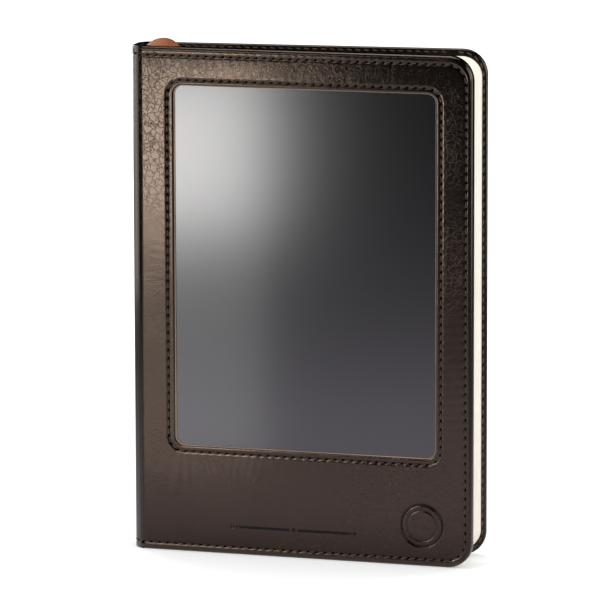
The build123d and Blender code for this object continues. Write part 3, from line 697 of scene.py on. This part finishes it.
def cut_at_crease(bm):
    """Cuts the mirrored half away and rolls the leather down into the crease."""
    for share in CREASE_CUTS:
        cut(bm, (share * CREASE_ROLL, 0, 0), (-1, 0, 0), share == 0.0)
    for v in bm.verts:
        if v.co.x < CREASE_ROLL and v.co.z > -OUTER_ROUND:
            v.co.z -= CREASE_DROP * (1 - v.co.x / CREASE_ROLL) ** 2


def cover_skin(cover, let_in=(), window_seam=(), finishes=("cover_leather",)):
    """One cover's leather and the holes of its seam. let_in are the functions that draw what is let into it."""
    bm = bmesh.new()
    cover_shell(bm, cover)
    for draw in let_in:
        draw(bm)
    fill_field(bm)
    cut_at_crease(bm)
    holes = stitch_holes(cover_seam(cover, FORE_SEAM[cover.side], TAIL_SEAM, HEAD_SEAM))
    draw_down(bm, [*holes, *window_seam], UP)
    return place_piece(bm, f"{cover.side}_leather_skin", cover.place, finishes), holes


# %% [markdown]
# ## Front cover
#
# Three things are let into the front leather. The window has its own stitch channel and a bevelled cut edge
# that shows the pale inside of the leatherette. The well holds the round patch of the clear button. The thin
# divider near the tail is a common printer's ornament, pressed in with a hot tool.

# %% Front cover leather
WINDOW_MARGINS = {"joint": 15.3, "fore_edge": 15.7, "head": 16.2, "tail": 46.2}
WINDOW_RADIUS = 4.3
WINDOW_SEAM = (3.3, 2.5, 2.8, 2.5)
RIM_ROLL = ((0.35, 0.05), (0.35, 0.0), (0.35, -0.05), (0.30, -0.11), (0.20, -0.14))
CUT_EDGE = ((0.24, -0.14), (0.03, -0.61))
BUTTON_FROM_FORE_EDGE = 21.4
BUTTON_HEIGHT = 17.4
BAND_MARGIN = 0.7
BAND_INNER_MARGIN = 0.15
BAND_RADIUS = WINDOW_RADIUS + 3.6
ROUND_COUNT = 72
WELL_RADIUS = 9.1
WELL_ROLL = ((0.6, 0.0), (0.45, -0.05), (0.25, -0.12), (0.15, -0.22), (0.05, -0.5))
DIVIDER_HEIGHT = 12.1
DIVIDER_ENDS = (39.8, 95.7)
DIVIDER_LINE = {"half": 0.21, "from_middle": 1.9, "from_end": 3.4}
END_RING = {"radius": 0.75, "width": 0.36, "count": 20}
END_DOT = {"from_end": 2.6, "radius": 0.45, "count": 14}
DIAMOND = {"radius": 1.15, "width": 0.5, "count": 4}
PRESSED = 0.22

window = (
    WINDOW_MARGINS["joint"],
    front.width - WINDOW_MARGINS["fore_edge"],
    WINDOW_MARGINS["tail"],
    front.height - WINDOW_MARGINS["head"],
)
button_centre = Vector((front.width - BUTTON_FROM_FORE_EDGE, BUTTON_HEIGHT, 0.0))


def grown(sides, left, right, bottom, top):
    """A rectangle's sides (left, right, bottom and top), each moved outward."""
    return [sides[0] - left, sides[1] + right, sides[2] - bottom, sides[3] + top]


window_seam = grown(window, *WINDOW_SEAM)


def window_band(bm):
    """The leather round the window: a stitch channel, a flat band and the cut edge."""
    out = CHANNEL_WIDTH / 2 + BAND_MARGIN
    band = rounded_sheet(bm, *grown(window_seam, out, out, out, out), BAND_RADIUS)
    terrace(bm, band, BAND_MARGIN, 0.0)
    terraces(bm, band, CHANNEL)
    terrace(bm, band, BAND_INNER_MARGIN, 0.0)
    roll = sum(inset for inset, _ in RIM_ROLL + CUT_EDGE)
    slide_ring(band, *grown(window, roll, roll, roll, roll))
    terraces(bm, band, RIM_ROLL)
    terraces(bm, band, CUT_EDGE, CUT)
    bmesh.ops.delete(bm, geom=[band], context="FACES_ONLY")


def disc(bm, centre, radius, count):
    """A flat round face."""
    place = Matrix.Translation(centre)
    made = bmesh.ops.create_circle(bm, cap_ends=True, radius=radius, segments=count, matrix=place)
    return made["verts"][0].link_faces[0]


def button_well(bm):
    """The leather sinks round the clear button and ends at a cut edge."""
    well = disc(bm, button_centre, WELL_RADIUS + sum(inset for inset, _ in WELL_ROLL), ROUND_COUNT)
    terraces(bm, well, WELL_ROLL)
    bmesh.ops.delete(bm, geom=[well], context="FACES_ONLY")


LEVEL_MARGIN = 0.3
SLOPE = ((0.03, -0.02), (0.08, -PRESSED))
SLOPE_BACK = ((0.07, PRESSED), (0.03, 0.02))
RING_WALLS = 0.14


def press_in(bm, face):
    """Presses a face in with sloping sides, inside a level margin, and gives the sunk part the darker, duller
    finish that is painted shade.
    """
    terrace(bm, face, LEVEL_MARGIN, 0.0)
    terraces(bm, face, SLOPE, PRESSED_SHADED)
    face.material_index = PRESSED_SHADED


def pressed_bar(bm, left, right, y, half):
    """A straight line pressed into the leather with sloping sides."""
    out = half + LEVEL_MARGIN
    press_in(bm, rectangle(bm, left, right, y - out, y + out)[0].link_faces[0])


def pressed_ring(bm, centre, radius, width, count):
    """A ring pressed into the leather. What it encloses stays level."""
    face = disc(bm, centre, radius + LEVEL_MARGIN, count)
    press_in(bm, face)
    terraces(bm, face, ((width - RING_WALLS, 0.0), *SLOPE_BACK), PRESSED_SHADED)
    face.material_index = PLAIN


def divider(bm):
    """The thin divider: two hairlines, a small diamond between them, and a dot and a ring at each end."""
    middle = sum(DIVIDER_ENDS) / 2
    reach_out = (DIVIDER_ENDS[1] - DIVIDER_ENDS[0]) / 2
    for sense in (-1, 1):
        near = middle + sense * DIVIDER_LINE["from_middle"]
        far = middle + sense * (reach_out - DIVIDER_LINE["from_end"])
        pressed_bar(bm, *sorted((near, far)), DIVIDER_HEIGHT, DIVIDER_LINE["half"])
        end = middle + sense * reach_out
        pressed_ring(bm, Vector((end - sense * END_RING["radius"], DIVIDER_HEIGHT, 0.0)), **END_RING)
        dot = Vector((end - sense * END_DOT["from_end"], DIVIDER_HEIGHT, 0.0))
        press_in(bm, disc(bm, dot, END_DOT["radius"] + LEVEL_MARGIN, END_DOT["count"]))
    pressed_ring(bm, Vector((middle, DIVIDER_HEIGHT, 0.0)), **DIAMOND)


seam_radius = BAND_RADIUS - BAND_MARGIN - CHANNEL_WIDTH / 2
window_holes = stitch_holes(closed_seam(*window_seam, seam_radius))
finishes = ("cover_leather", "cut_leather", "pressed_leather_shaded")
front_skin, front_holes = cover_skin(front, (window_band, button_well, divider), window_holes, finishes)
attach(front_skin, "front_cover")
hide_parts("front_leather")
seam_thread("front_seam_thread", front_holes, UP, front.place, "front_cover")
seam_thread("window_seam_thread", window_holes, UP, front.place, "front_cover")

# %% [markdown]
# ## Back cover
#
# The back is the same wrapped board without anything let into it, so it reuses the shell and the seam. Its
# plane has the opposite hand, and so its faces are turned round once it is in place.

# %% Back cover leather
back_skin, back_holes = cover_skin(back)
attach(back_skin, "back_cover")
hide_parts("back_leather")
seam_thread("back_seam_thread", back_holes, UP, back.place, "back_cover")

# %% [markdown]
# ## The seam seen from inside
#
# The seam goes right through the turned-in leather, and so its lower thread shows on the inner margin of both
# covers. It is one thread, drawn pale near the fore edge, where the margin catches the light, and dark along
# the head and the tail, where it lies in shade: painted highlight and painted shade. The pale part is the row
# of pale specks beside the page edges.

# %% Inner thread
INNER_SEAM = 1.35
INNER_SEAM_START = 3.0
PALE_WIDTH = 15.0
for cover in (front, back):
    line = stitch_holes(cover_seam(cover, INNER_SEAM, INNER_SEAM, INNER_SEAM))
    inside = [hole - UP * cover.depth for hole in line if hole.x > INNER_SEAM_START]
    pale_from = cover.width - PALE_WIDTH
    # Near the fore edge the thread is drawn pale as lit, and along the head and tail dark as shaded: painted
    # light and shade.
    for part, look, holes in (
        ("fore_edge", "inner_thread", [hole for hole in inside if hole.x > pale_from]),
        ("shaded_head_and_tail", "thread", [hole for hole in inside if hole.x <= pale_from]),
    ):
        seam_thread(
            f"{cover.side}_inner_thread_{part}", holes, -UP, cover.place, f"{cover.side}_cover",
            (look, "hole_shade_bead"),
        )

# %% [markdown]
# ## Joints
#
# Between the spine and each cover the leather has no board under it, and that strip is the hinge. It is a
# shallow arc, and so its cross-section is spun about the arc's upright axis.

# %% Leather joints
LEATHER = 1.0
JOINT_LEATHER = 0.65
END_ROUND = 0.45
BACK_MARGIN = 0.2
STRIP_STEPS = 16


def end_rows(height):
    """Heights of the rows of a strip, close together at its ends and its seams, with how deep each lies."""
    rows = []
    for share in (0.0, 0.15, 0.5, 1.0):
        z = END_ROUND * share
        rows.append((z, END_ROUND - sqrt(END_ROUND**2 - (END_ROUND - z) ** 2)))
    for middle in (TAIL_SEAM, height - HEAD_SEAM):
        z = middle - CHANNEL_WIDTH / 2
        dip = 0.0
        channel = [(z, dip)]
        for width, rise in CHANNEL:
            z += width
            dip -= rise
            channel.append((z, dip))
        rows += channel
    rows += [(height - z, dip) for z, dip in reversed(rows[:4])]
    return rows


def strip_profile(bm, thickness, at_depth):
    """The closed cross-section of a leather strip. at_depth(z, dip) gives a point that far under its face."""
    rows = end_rows(front.height)
    points = [at_depth(z, dip) for z, dip in rows]
    points += [at_depth(front.height - BACK_MARGIN, thickness), at_depth(BACK_MARGIN, thickness)]
    verts = [bm.verts.new(p) for p in points]
    return verts, [bm.edges.new(pair) for pair in zip(verts, verts[1:] + verts[:1])]


def circle_through(a, b, c):
    """The centre of the circle through three points in the ground plane."""
    ax, ay, bx, by, cx, cy = a.x, a.y, b.x, b.y, c.x, c.y
    d = 2 * (ax * (by - cy) + bx * (cy - ay) + cx * (ay - by))
    ux = ((ax**2 + ay**2) * (by - cy) + (bx**2 + by**2) * (cy - ay) + (cx**2 + cy**2) * (ay - by)) / d
    uy = ((ax**2 + ay**2) * (cx - bx) + (bx**2 + by**2) * (ax - cx) + (cx**2 + cy**2) * (bx - ax)) / d
    return Vector((ux, uy, 0.0))


def joint_strip(cover, spine_edge, hinge_name):
    """The leather strip between the spine and one cover, with its thread."""
    cover_edge = cover.corner + cover.inward * CREASE_DROP
    hinge = Vector(joint(hinge_name)["pos_m"]) * TO_MM
    centre = circle_through(spine_edge, hinge, cover_edge)
    radius = (spine_edge - centre).length
    arms = [(p - centre).normalized() for p in (spine_edge, cover_edge)]
    turn = arms[0].xy.angle_signed(arms[1].xy)
    bm = bmesh.new()
    verts, edges = strip_profile(
        bm, JOINT_LEATHER, lambda z, dip: centre + arms[0] * (radius - dip) + UP * z
    )
    bmesh.ops.spin(
        bm, geom=verts + edges, cent=centre, axis=(0, 0, 1), angle=-turn, steps=STRIP_STEPS, use_merge=False
    )
    count = max(1, round(abs(turn) * radius / STITCH_PITCH))
    holes = {}
    for seam_z in (TAIL_SEAM, cover.height - HEAD_SEAM):
        spots = [Matrix.Rotation(-turn * i / count, 3, "Z") @ arms[0] for i in range(count + 1)]
        holes[seam_z] = [(centre + spot * radius + UP * seam_z, spot) for spot in spots]
        for place, out in holes[seam_z]:
            draw_down(bm, [place], out)
    bmesh.ops.recalc_face_normals(bm, faces=bm.faces)
    name = f"{cover.side}_joint"
    strip = place_piece(bm, f"{name}_leather")
    bm = bmesh.new()
    for line in holes.values():
        add_stitches(bm, [place for place, _ in line], [out for _, out in line])
    thread = place_piece(bm, f"{name}_thread", METRES, ["thread", "hole_shade_bead"])
    for piece in (strip, thread):
        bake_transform(piece)


spine_x = lowest("spine_leather").x
spine_front = Vector((spine_x, lowest("spine_board").y, 0.0))
spine_back = Vector((spine_x, highest("spine_board").y, 0.0))
joint_strip(front, spine_front, "front_cover_hinge")
joint_strip(back, spine_back, "back_cover_hinge")

# %% [markdown]
# ## Spine
#
# The spine is a narrow board under the same leather. Its cross-section is the strip's own, drawn out in even
# steps from one joint to the other, and the two seams cross it near the head and the tail.

# %% Spine leather
SPINE_STEPS = 12
bm = bmesh.new()
verts, edges = strip_profile(bm, LEATHER, lambda z, dip: spine_front + Vector((dip, 0.0, z)))
run = (spine_back - spine_front) / SPINE_STEPS
for _ in range(SPINE_STEPS):
    grown = bmesh.ops.extrude_edge_only(bm, edges=edges)["geom"]
    edges = only(BMEdge, grown)
    bmesh.ops.translate(bm, verts=only(BMVert, grown), vec=run)
spine_seams = [
    stitch_holes([spine_front + UP * z, spine_back + UP * z]) for z in (TAIL_SEAM, front.height - HEAD_SEAM)
]
LEFT = Vector((-1.0, 0.0, 0.0))
for holes in spine_seams:
    draw_down(bm, holes, LEFT)
bmesh.ops.recalc_face_normals(bm, faces=bm.faces)
spine_skin = place_piece(bm, "spine_leather_skin")
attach(spine_skin, "book_block")
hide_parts("spine_leather")
for end, holes in zip(("tail", "head"), spine_seams):
    seam_thread(f"spine_{end}_thread", holes, LEFT, METRES, "book_block")

# %% [markdown]
# ## Clear button
#
# The button is a patch of the same leather over a plunger. A soft groove hides the gap round it, and a finer
# pressed ring runs inside its edge. The middle of the patch is plain.

# %% Clear button patch
PATCH_RADIUS = 8.75
PATCH_DROP = 0.34
PATCH_EDGE = ((0.12, 0.14), (0.22, 0.12), (0.35, 0.06), (0.6, 0.02))
PATCH_RING = ((0.7, 0.0), (0.08, -0.06), (0.08, -0.08), (0.14, 0.0), (0.08, 0.08), (0.08, 0.06), (0.8, 0.0))
GROOVE_DROP = 0.62
GROOVE_OVERLAP = 0.05
bm = bmesh.new()
patch = disc(bm, button_centre - UP * PATCH_DROP, PATCH_RADIUS, ROUND_COUNT)
terraces(bm, patch, PATCH_EDGE + PATCH_RING)
rim = [e for e in bm.edges if e.is_boundary]
wall = only(BMVert, bmesh.ops.extrude_edge_only(bm, edges=rim)["geom"])
bmesh.ops.translate(bm, verts=wall, vec=UP * (PATCH_DROP - LEATHER))
close_up(bm)
patch_skin = place_piece(bm, "clear_button_patch", front.place)
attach(patch_skin, "clear_button")
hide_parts("clear_button_leather")

bm = bmesh.new()
groove = disc(bm, button_centre - UP * GROOVE_DROP, WELL_RADIUS + GROOVE_OVERLAP, ROUND_COUNT)
terraces(bm, groove, ((0.1, -0.03), (0.1, 0.0)))
bmesh.ops.delete(bm, geom=[groove], context="FACES_ONLY")
groove_floor = place_piece(bm, "clear_button_groove", front.place)
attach(groove_floor, "front_cover")

# %% [markdown]
# ## Pages
#
# Each sewn section is a wedge, thinner at its fold than at the fore edge. A solid wedge looks like a block of
# plaster, so every section is made of eight sheets with round corners, none of them quite level with the next
# at the fore edge. The shift is about a tenth of a millimetre and comes from a seeded random row.

# %% Sewn sections
SHEETS = 8
PAGE_CORNER = 8.5
SHEET_GAP = 0.012
RAGGED = 0.14
RAGGED_HEIGHT = 0.6
FORE_BAND = 0.05
FOLD_BAND = (0.1, 2.0)
shuffle = random.Random(7)


def page_sheet(bm, left, right, bottom, top, front_y, back_y):
    """One thin sheet between two slanting planes. front_y and back_y give y at its spine and its fore edge."""
    ragged_x = shuffle.uniform(-RAGGED, 0.0)
    ragged_z = shuffle.uniform(-RAGGED, RAGGED) * RAGGED_HEIGHT
    corners = rectangle(bm, left, right, bottom, top)
    face = round_corners(bm, corners[1:3], PAGE_CORNER, 7)
    near = list(face.verts)
    far = only(BMVert, bmesh.ops.extrude_face_region(bm, geom=[face], use_keep_orig=True)["geom"])
    for row, (at_spine, at_fore) in ((near, front_y), (far, back_y)):
        for v in row:
            share = (v.co.x - left) / (right - left)
            y = at_spine + (at_fore - at_spine) * share
            v.co = Vector((v.co.x + ragged_x * share, y, v.co.y + ragged_z))


def section_planes(node):
    """The y of a section's front and back planes, at its spine and at its fore edge."""
    low, high = lowest(node), highest(node)
    points = [v.co * TO_MM for v in frame["nodes"][node].data.vertices]
    fore = [p.y for p in points if p.x > high.x - FORE_BAND]
    fold = [p for p in points if low.x + FOLD_BAND[0] < p.x < low.x + FOLD_BAND[1]]
    planes = []
    for outermost in (min, max):
        at_fore = outermost(fore)
        slope = (at_fore - outermost(p.y for p in fold)) / (high.x - fold[0].x)
        planes.append((at_fore - slope * (high.x - low.x), at_fore))
    return planes


sections = sorted(n for n in frame["nodes"] if n.startswith("section_"))
for node in sections:
    low, high = lowest(node), highest(node)
    front_y, back_y = section_planes(node)
    bm = bmesh.new()
    for i in range(SHEETS):
        shares = (i / SHEETS, (i + 1) / SHEETS)
        faces = [
            tuple(f + (b - f) * share + gap for f, b in zip(front_y, back_y))
            for share, gap in zip(shares, (SHEET_GAP, -SHEET_GAP))
        ]
        page_sheet(bm, low.x, high.x, low.z, high.z, *faces)
    bmesh.ops.recalc_face_normals(bm, faces=bm.faces)
    leaves = place_piece(bm, f"{node}_sheets", METRES, ["page_paper"])
    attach(leaves, "book_block")
    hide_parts(node)

# %% [markdown]
# ## Ribbon
#
# The satin marker is glued inside the hollow of the spine, stands up over the head in a small arch and turns a
# quarter to lie flat between two sections. One narrow cross-section is carried along that way and each
# copy is bridged to the one before, which keeps its width and its soft selvedges all the way.

# %% Ribbon marker
RIBBON_WIDTH = 6.0
RIBBON_THICKNESS = 0.3
RIBBON_ARCH_RISE = 3.1
RIBBON_ARCH_SPAN = 12.6
RIBBON_GLUED = 24.0
RIBBON_BEND_START = 2.0
RIBBON_SUNK = 0.21
RIBBON_END = Vector((46.0, 0.0, 14.0))
RIBBON_SECTIONS = ("section_4", "section_5")
ARCH_STEPS = 36
FLAT_SHARES = (0.02, 0.1, 0.3, 0.6, 1.0)
SELVEDGE = ((0.0, 0.0), (0.12, 1.0), (0.5, 0.9), (0.9, 0.72), (RIBBON_WIDTH / 2, 0.792))

page_left = lowest("section_1").x
page_right = highest("section_1").x
head_z = highest("section_1").z
gauze_x = lowest("spine_gauze").x
slot_at_fold = highest(RIBBON_SECTIONS[1]).y
slot_at_fore = lowest(RIBBON_SECTIONS[0]).y


def slot_y(x):
    """The y of the ribbon's middle between its two sections."""
    share = (x - page_left) / (page_right - page_left)
    return slot_at_fold + (slot_at_fore - slot_at_fold) * share + RIBBON_SUNK


def ribbon_stations():
    """Where the ribbon's cross-section stands along its way: its middle, its width and its face direction."""
    entry_x = page_left + RIBBON_ARCH_SPAN
    level = Vector((0.0, 1.0, 0.0))
    middle_y = slot_y(entry_x)
    start = Vector((gauze_x - RIBBON_THICKNESS / 2, middle_y, head_z))
    finish_point = Vector((entry_x, middle_y, head_z))
    end = Vector((spine_x + RIBBON_END.x, slot_y(spine_x + RIBBON_END.x), RIBBON_END.z))
    down = Vector((end.x - entry_x, 0.0, end.z - head_z)).normalized()
    rise = RIBBON_ARCH_RISE * 4 / 3
    handles = (start, start + UP * rise, finish_point - down * rise, finish_point)
    legs = [b - a for a, b in zip(handles, handles[1:])]
    stations = [(start - UP * back, UP, level) for back in (RIBBON_GLUED, RIBBON_BEND_START)]
    for i in range(ARCH_STEPS + 1):
        t = i / ARCH_STEPS
        weights = ((1 - t) ** 3, 3 * t * (1 - t) ** 2, 3 * t * t * (1 - t), t**3)
        place = sum((p * w for p, w in zip(handles, weights)), Vector())
        tangent = sum((l * w for l, w in zip(legs, ((1 - t) ** 2, 2 * t * (1 - t), t * t))), Vector())
        tangent.normalize()
        quarter = radians(90) * t * t * (3 - 2 * t)
        upright = tangent.cross(level).normalized()
        stations.append((place, tangent, level * cos(quarter) + upright * sin(quarter)))
    across = stations[-1][2]
    for share in FLAT_SHARES:
        place = finish_point.lerp(end, share)
        place.y = slot_y(place.x)
        stations.append((place, down, across))
    return stations


def ribbon_outline():
    """The ribbon's cross-section: thin, a touch thicker at its two woven edges."""
    side = [(inset - RIBBON_WIDTH / 2, share * RIBBON_THICKNESS / 2) for inset, share in SELVEDGE]
    upper = side + [(-x, y) for x, y in reversed(side[:-1])]
    return upper + [(x, -y) for x, y in reversed(upper[1:-1])]


bm = bmesh.new()
before = []
for place, tangent, across in ribbon_stations():
    out = tangent.cross(across).normalized()
    verts = [bm.verts.new(place + across * x + out * y) for x, y in ribbon_outline()]
    ring = [bm.edges.new(pair) for pair in zip(verts, verts[1:] + verts[:1])]
    if before:
        bmesh.ops.bridge_loops(bm, edges=before + ring)
    before = ring
close_up(bm)
ribbon = place_piece(bm, "ribbon_marker_satin", METRES, ["ribbon"])
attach(ribbon, "book_block")
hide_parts("ribbon_marker")

# %% [markdown]
# ## Everything else keeps its CAD shape
#
# Boards, cards, endpapers, loose leaves, the screen and all the electronics are already the right shape. Each
# node takes a finish of its own, so that nothing inside the book is left plain.

# %% Finishes for the frame's own nodes
NODES_OF = {
    "board": ("spine_board", "back_board", "back_infill", "front_board", "front_infill"),
    "end_paper": ("spine_lining", "back_pastedown", "back_flyleaf", "front_flyleaf", "front_pastedown"),
    "page_paper": ("back_leaves", "front_leaves_1", "front_leaves_2"),
    "gauze_cloth": ("spine_gauze",),
    "headband_cloth": ("headband_head", "headband_tail"),
    "ribbon": ("ribbon_marker",),
    "black_plastic": ("module_tray", "chin_plate", "battery_door", "clear_button_plunger"),
    "screen_film": ("writing_screen",),
    "black_foam": ("screen_backing",),
    "solder_mask": ("circuit_board",),
    "chip_plastic": ("control_chip",),
    "ceramic": ("capacitors",),
    "amber_film": ("flex_cable",),
    "steel": ("dome_switch", "coin_cell", "cell_contact_minus", "cell_contact_plus", "door_screw"),
}
finish_of = {name: look for look, names in NODES_OF.items() for name in names}
for name, node in frame["nodes"].items():
    default = "page_paper" if name.startswith("section_") else "cover_leather"
    node.data.materials.clear()
    node.data.materials.append(materials[finish_of.get(name, default)])
print("nodes finished", len(frame["nodes"]))

# %% [markdown]
# ## Floor and light
#
# The book stands on a pale floor in soft light. The key lamp is a small softbox in front, where the upper left
# of the screen mirrors it: that is the bright patch, which fades to the right and downwards. A dim card under
# it lifts the lower left. Both serve reflections only, as do two cards at the sides, and the other lamps light
# the paper. The floor and the world are white to the camera, and the floor keeps the shadow.

# %% Floor, world and lamps
def white_to_the_eye(tree, strength):
    """Light that only the camera and reflections see."""
    path = add_node(tree, "LightPath").outputs
    seen = maths(tree, "ADD", path["Is Camera Ray"], path["Is Glossy Ray"])
    seen = maths(tree, "ADD", seen, path["Is Transmission Ray"])
    return multiply(tree, maths(tree, "MINIMUM", seen, 1.0), strength)


FLOOR_HALF = 6.0
SWEEP_START, SWEEP_END = 0.25, 1.6
GLOW_NEAR, GLOW_FAR = 0.28, 0.85
bm = bmesh.new()
bmesh.ops.create_grid(bm, x_segments=24, y_segments=24, size=FLOOR_HALF)
floor = to_object(bm, "floor")
paint, tree = new_material("floor_paper")
shader = tree.nodes["Principled BSDF"]
shader.inputs["Base Color"].default_value = (0.86, 0.86, 0.86, 1.0)
shader.inputs["Roughness"].default_value = 0.9
shader.inputs["Specular IOR Level"].default_value = 0.0
shader.inputs["Emission Color"].default_value = (1.0, 1.0, 1.0, 1.0)
place = add_node(tree, "TexCoord").outputs["Object"]
distance = add_node(tree, "VectorMath", {0: place}, operation="LENGTH").outputs["Value"]
sweep = remap(tree, distance, SWEEP_START, SWEEP_END, GLOW_NEAR, GLOW_FAR)
tree.links.new(white_to_the_eye(tree, sweep), shader.inputs["Emission Strength"])
floor.data.materials.append(paint)

world = bpy.data.worlds.new("studio")
world.use_nodes = True
scene.world = world
tree = world.node_tree
tree.nodes.clear()
WHITE = (1.0, 1.0, 1.0, 1.0)
fill = add_node(tree, "Background", {"Color": WHITE, "Strength": 0.5}).outputs[0]
bright = add_node(tree, "Background", {"Color": WHITE, "Strength": 1.0}).outputs[0]
chosen = add_node(tree, "MixShader", {0: white_to_the_eye(tree, 1.0), 1: fill, 2: bright})
add_node(tree, "OutputWorld", {"Surface": chosen.outputs[0]})


def softbox(name, centre, target, size, watts, lights_paper=True, tint=(1.0, 1.0, 1.0)):
    """An area lamp that faces a target and that the camera can't see."""
    lamp = bpy.data.objects.new(name, bpy.data.lights.new(name, "AREA"))
    lamp.data.shape = "RECTANGLE"
    lamp.data.size, lamp.data.size_y = size
    lamp.data.energy = watts
    lamp.data.color = tint
    lamp.location = centre
    lamp.rotation_euler = (Vector(centre) - Vector(target)).to_track_quat("Z", "Y").to_euler()
    lamp.visible_camera = False
    lamp.visible_diffuse = lights_paper
    scene.collection.objects.link(lamp)
    print(name, "at", [round(v, 3) for v in centre], "watts", round(watts, 3))


LIT_LEFT_OF_MIDDLE = 0.0173
PANEL_TINT = (1.0, 0.99, 0.98)
outward = -front.inward
mirror = 2 * towards_camera.dot(outward) * outward - towards_camera
mirror = Vector((mirror.x, mirror.y, 0.0)).normalized()
rightward = Vector((-mirror.y, mirror.x, 0.0))
screen_middle = (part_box("writing_screen")[0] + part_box("writing_screen")[1]) / 2


def reflected_panel(name, distance, width, low, high, brightness):
    """A lamp that the screen mirrors to the left of its middle, that far away and from low to high."""
    right_edge = -LIT_LEFT_OF_MIDDLE * (1 + distance / CAMERA_DISTANCE)
    spot = screen_middle + mirror * distance + rightward * (right_edge - width / 2)
    spot.z = (low + high) / 2
    watts = brightness * pi * width * (high - low)
    softbox(name, spot, spot - mirror, (width, high - low), watts, False, PANEL_TINT)


reflected_panel("key_lamp", 0.40, 0.13, 0.083, 0.168, 11.0)
reflected_panel("side_card", 0.20, 0.15, 0.002, 0.11, 1.2)
BOOK_MIDDLE = (0.0, 0.0, 0.1)
softbox("front_light", (-0.9, -1.2, 0.8), BOOK_MIDDLE, (0.6, 0.6), 6.0)
softbox("left_card", (-0.65, 0.15, 0.26), (-0.07, 0.0, 0.2), (0.5, 0.5), 1.2, lights_paper=False)
softbox("right_card", (0.75, 0.2, 0.26), (0.07, 0.0, 0.15), (0.45, 0.5), 2.2, lights_paper=False)
softbox("right_fill", (0.9, -0.45, 0.5), BOOK_MIDDLE, (0.5, 0.7), 4.0)
softbox("top_light", (-0.1, 0.1, 1.2), BOOK_MIDDLE, (0.7, 0.7), 6.0)
softbox("back_left", (-0.9, 1.0, 0.5), BOOK_MIDDLE, (0.4, 0.9), 4.0)
softbox("back_right", (1.1, 0.9, 0.7), BOOK_MIDDLE, (0.4, 0.9), 4.0)

# %% [markdown]
# ## Dark tent
#
# A real screen and real leather mirror the studio's dark corners as much as its lamps. The tent is a half ball
# with a floor, black far from the book and clear near its front. Only reflections see it, and so the floor
# stays white to the camera and still glows in the lower part of the screen.

# %% Dark tent
TENT_RADIUS = 4.0
TENT_FLOOR = 0.003
TO_CLEAR_CENTRE = (0.03, 0.22, 0.0)
CLEAR_RADIUS = 0.13
FADE_LENGTH = 0.28
bm = bmesh.new()
bmesh.ops.create_uvsphere(bm, u_segments=32, v_segments=16, radius=TENT_RADIUS)
cut(bm, (0, 0, TENT_FLOOR), (0, 0, -1), True)
bmesh.ops.holes_fill(bm, edges=[e for e in bm.edges if e.is_boundary], sides=0)
tent = to_object(bm, "dark_tent")
look, tree = new_material("dark_tent")
tree.nodes.clear()
place = add_node(tree, "TexCoord").outputs["Object"]
moved = add_node(tree, "Mapping", {"Vector": place, "Location": TO_CLEAR_CENTRE}).outputs[0]
distance = add_node(tree, "VectorMath", {0: moved}, operation="LENGTH").outputs["Value"]
beyond = maths(tree, "MAXIMUM", maths(tree, "SUBTRACT", distance, CLEAR_RADIUS), 0.0)
clear_share = maths(tree, "EXPONENT", multiply(tree, beyond, -1 / FADE_LENGTH))
clear = add_node(tree, "BsdfTransparent", {"Color": (0.93, 0.88, 1.0, 1.0)}).outputs[0]
black = add_node(tree, "BsdfDiffuse", {"Color": (0.0, 0.0, 0.0, 1.0)}).outputs[0]
mix = add_node(tree, "MixShader", {0: clear_share, 1: black, 2: clear})
add_node(tree, "OutputMaterial", {"Surface": mix.outputs[0]})
tent.data.materials.append(look)
tent.visible_camera = False
tent.visible_diffuse = False
tent.visible_shadow = False
tent.visible_transmission = False
print("dark tent faces", len(tent.data.polygons))

# %% View transform
scene.view_settings.view_transform = "Standard"
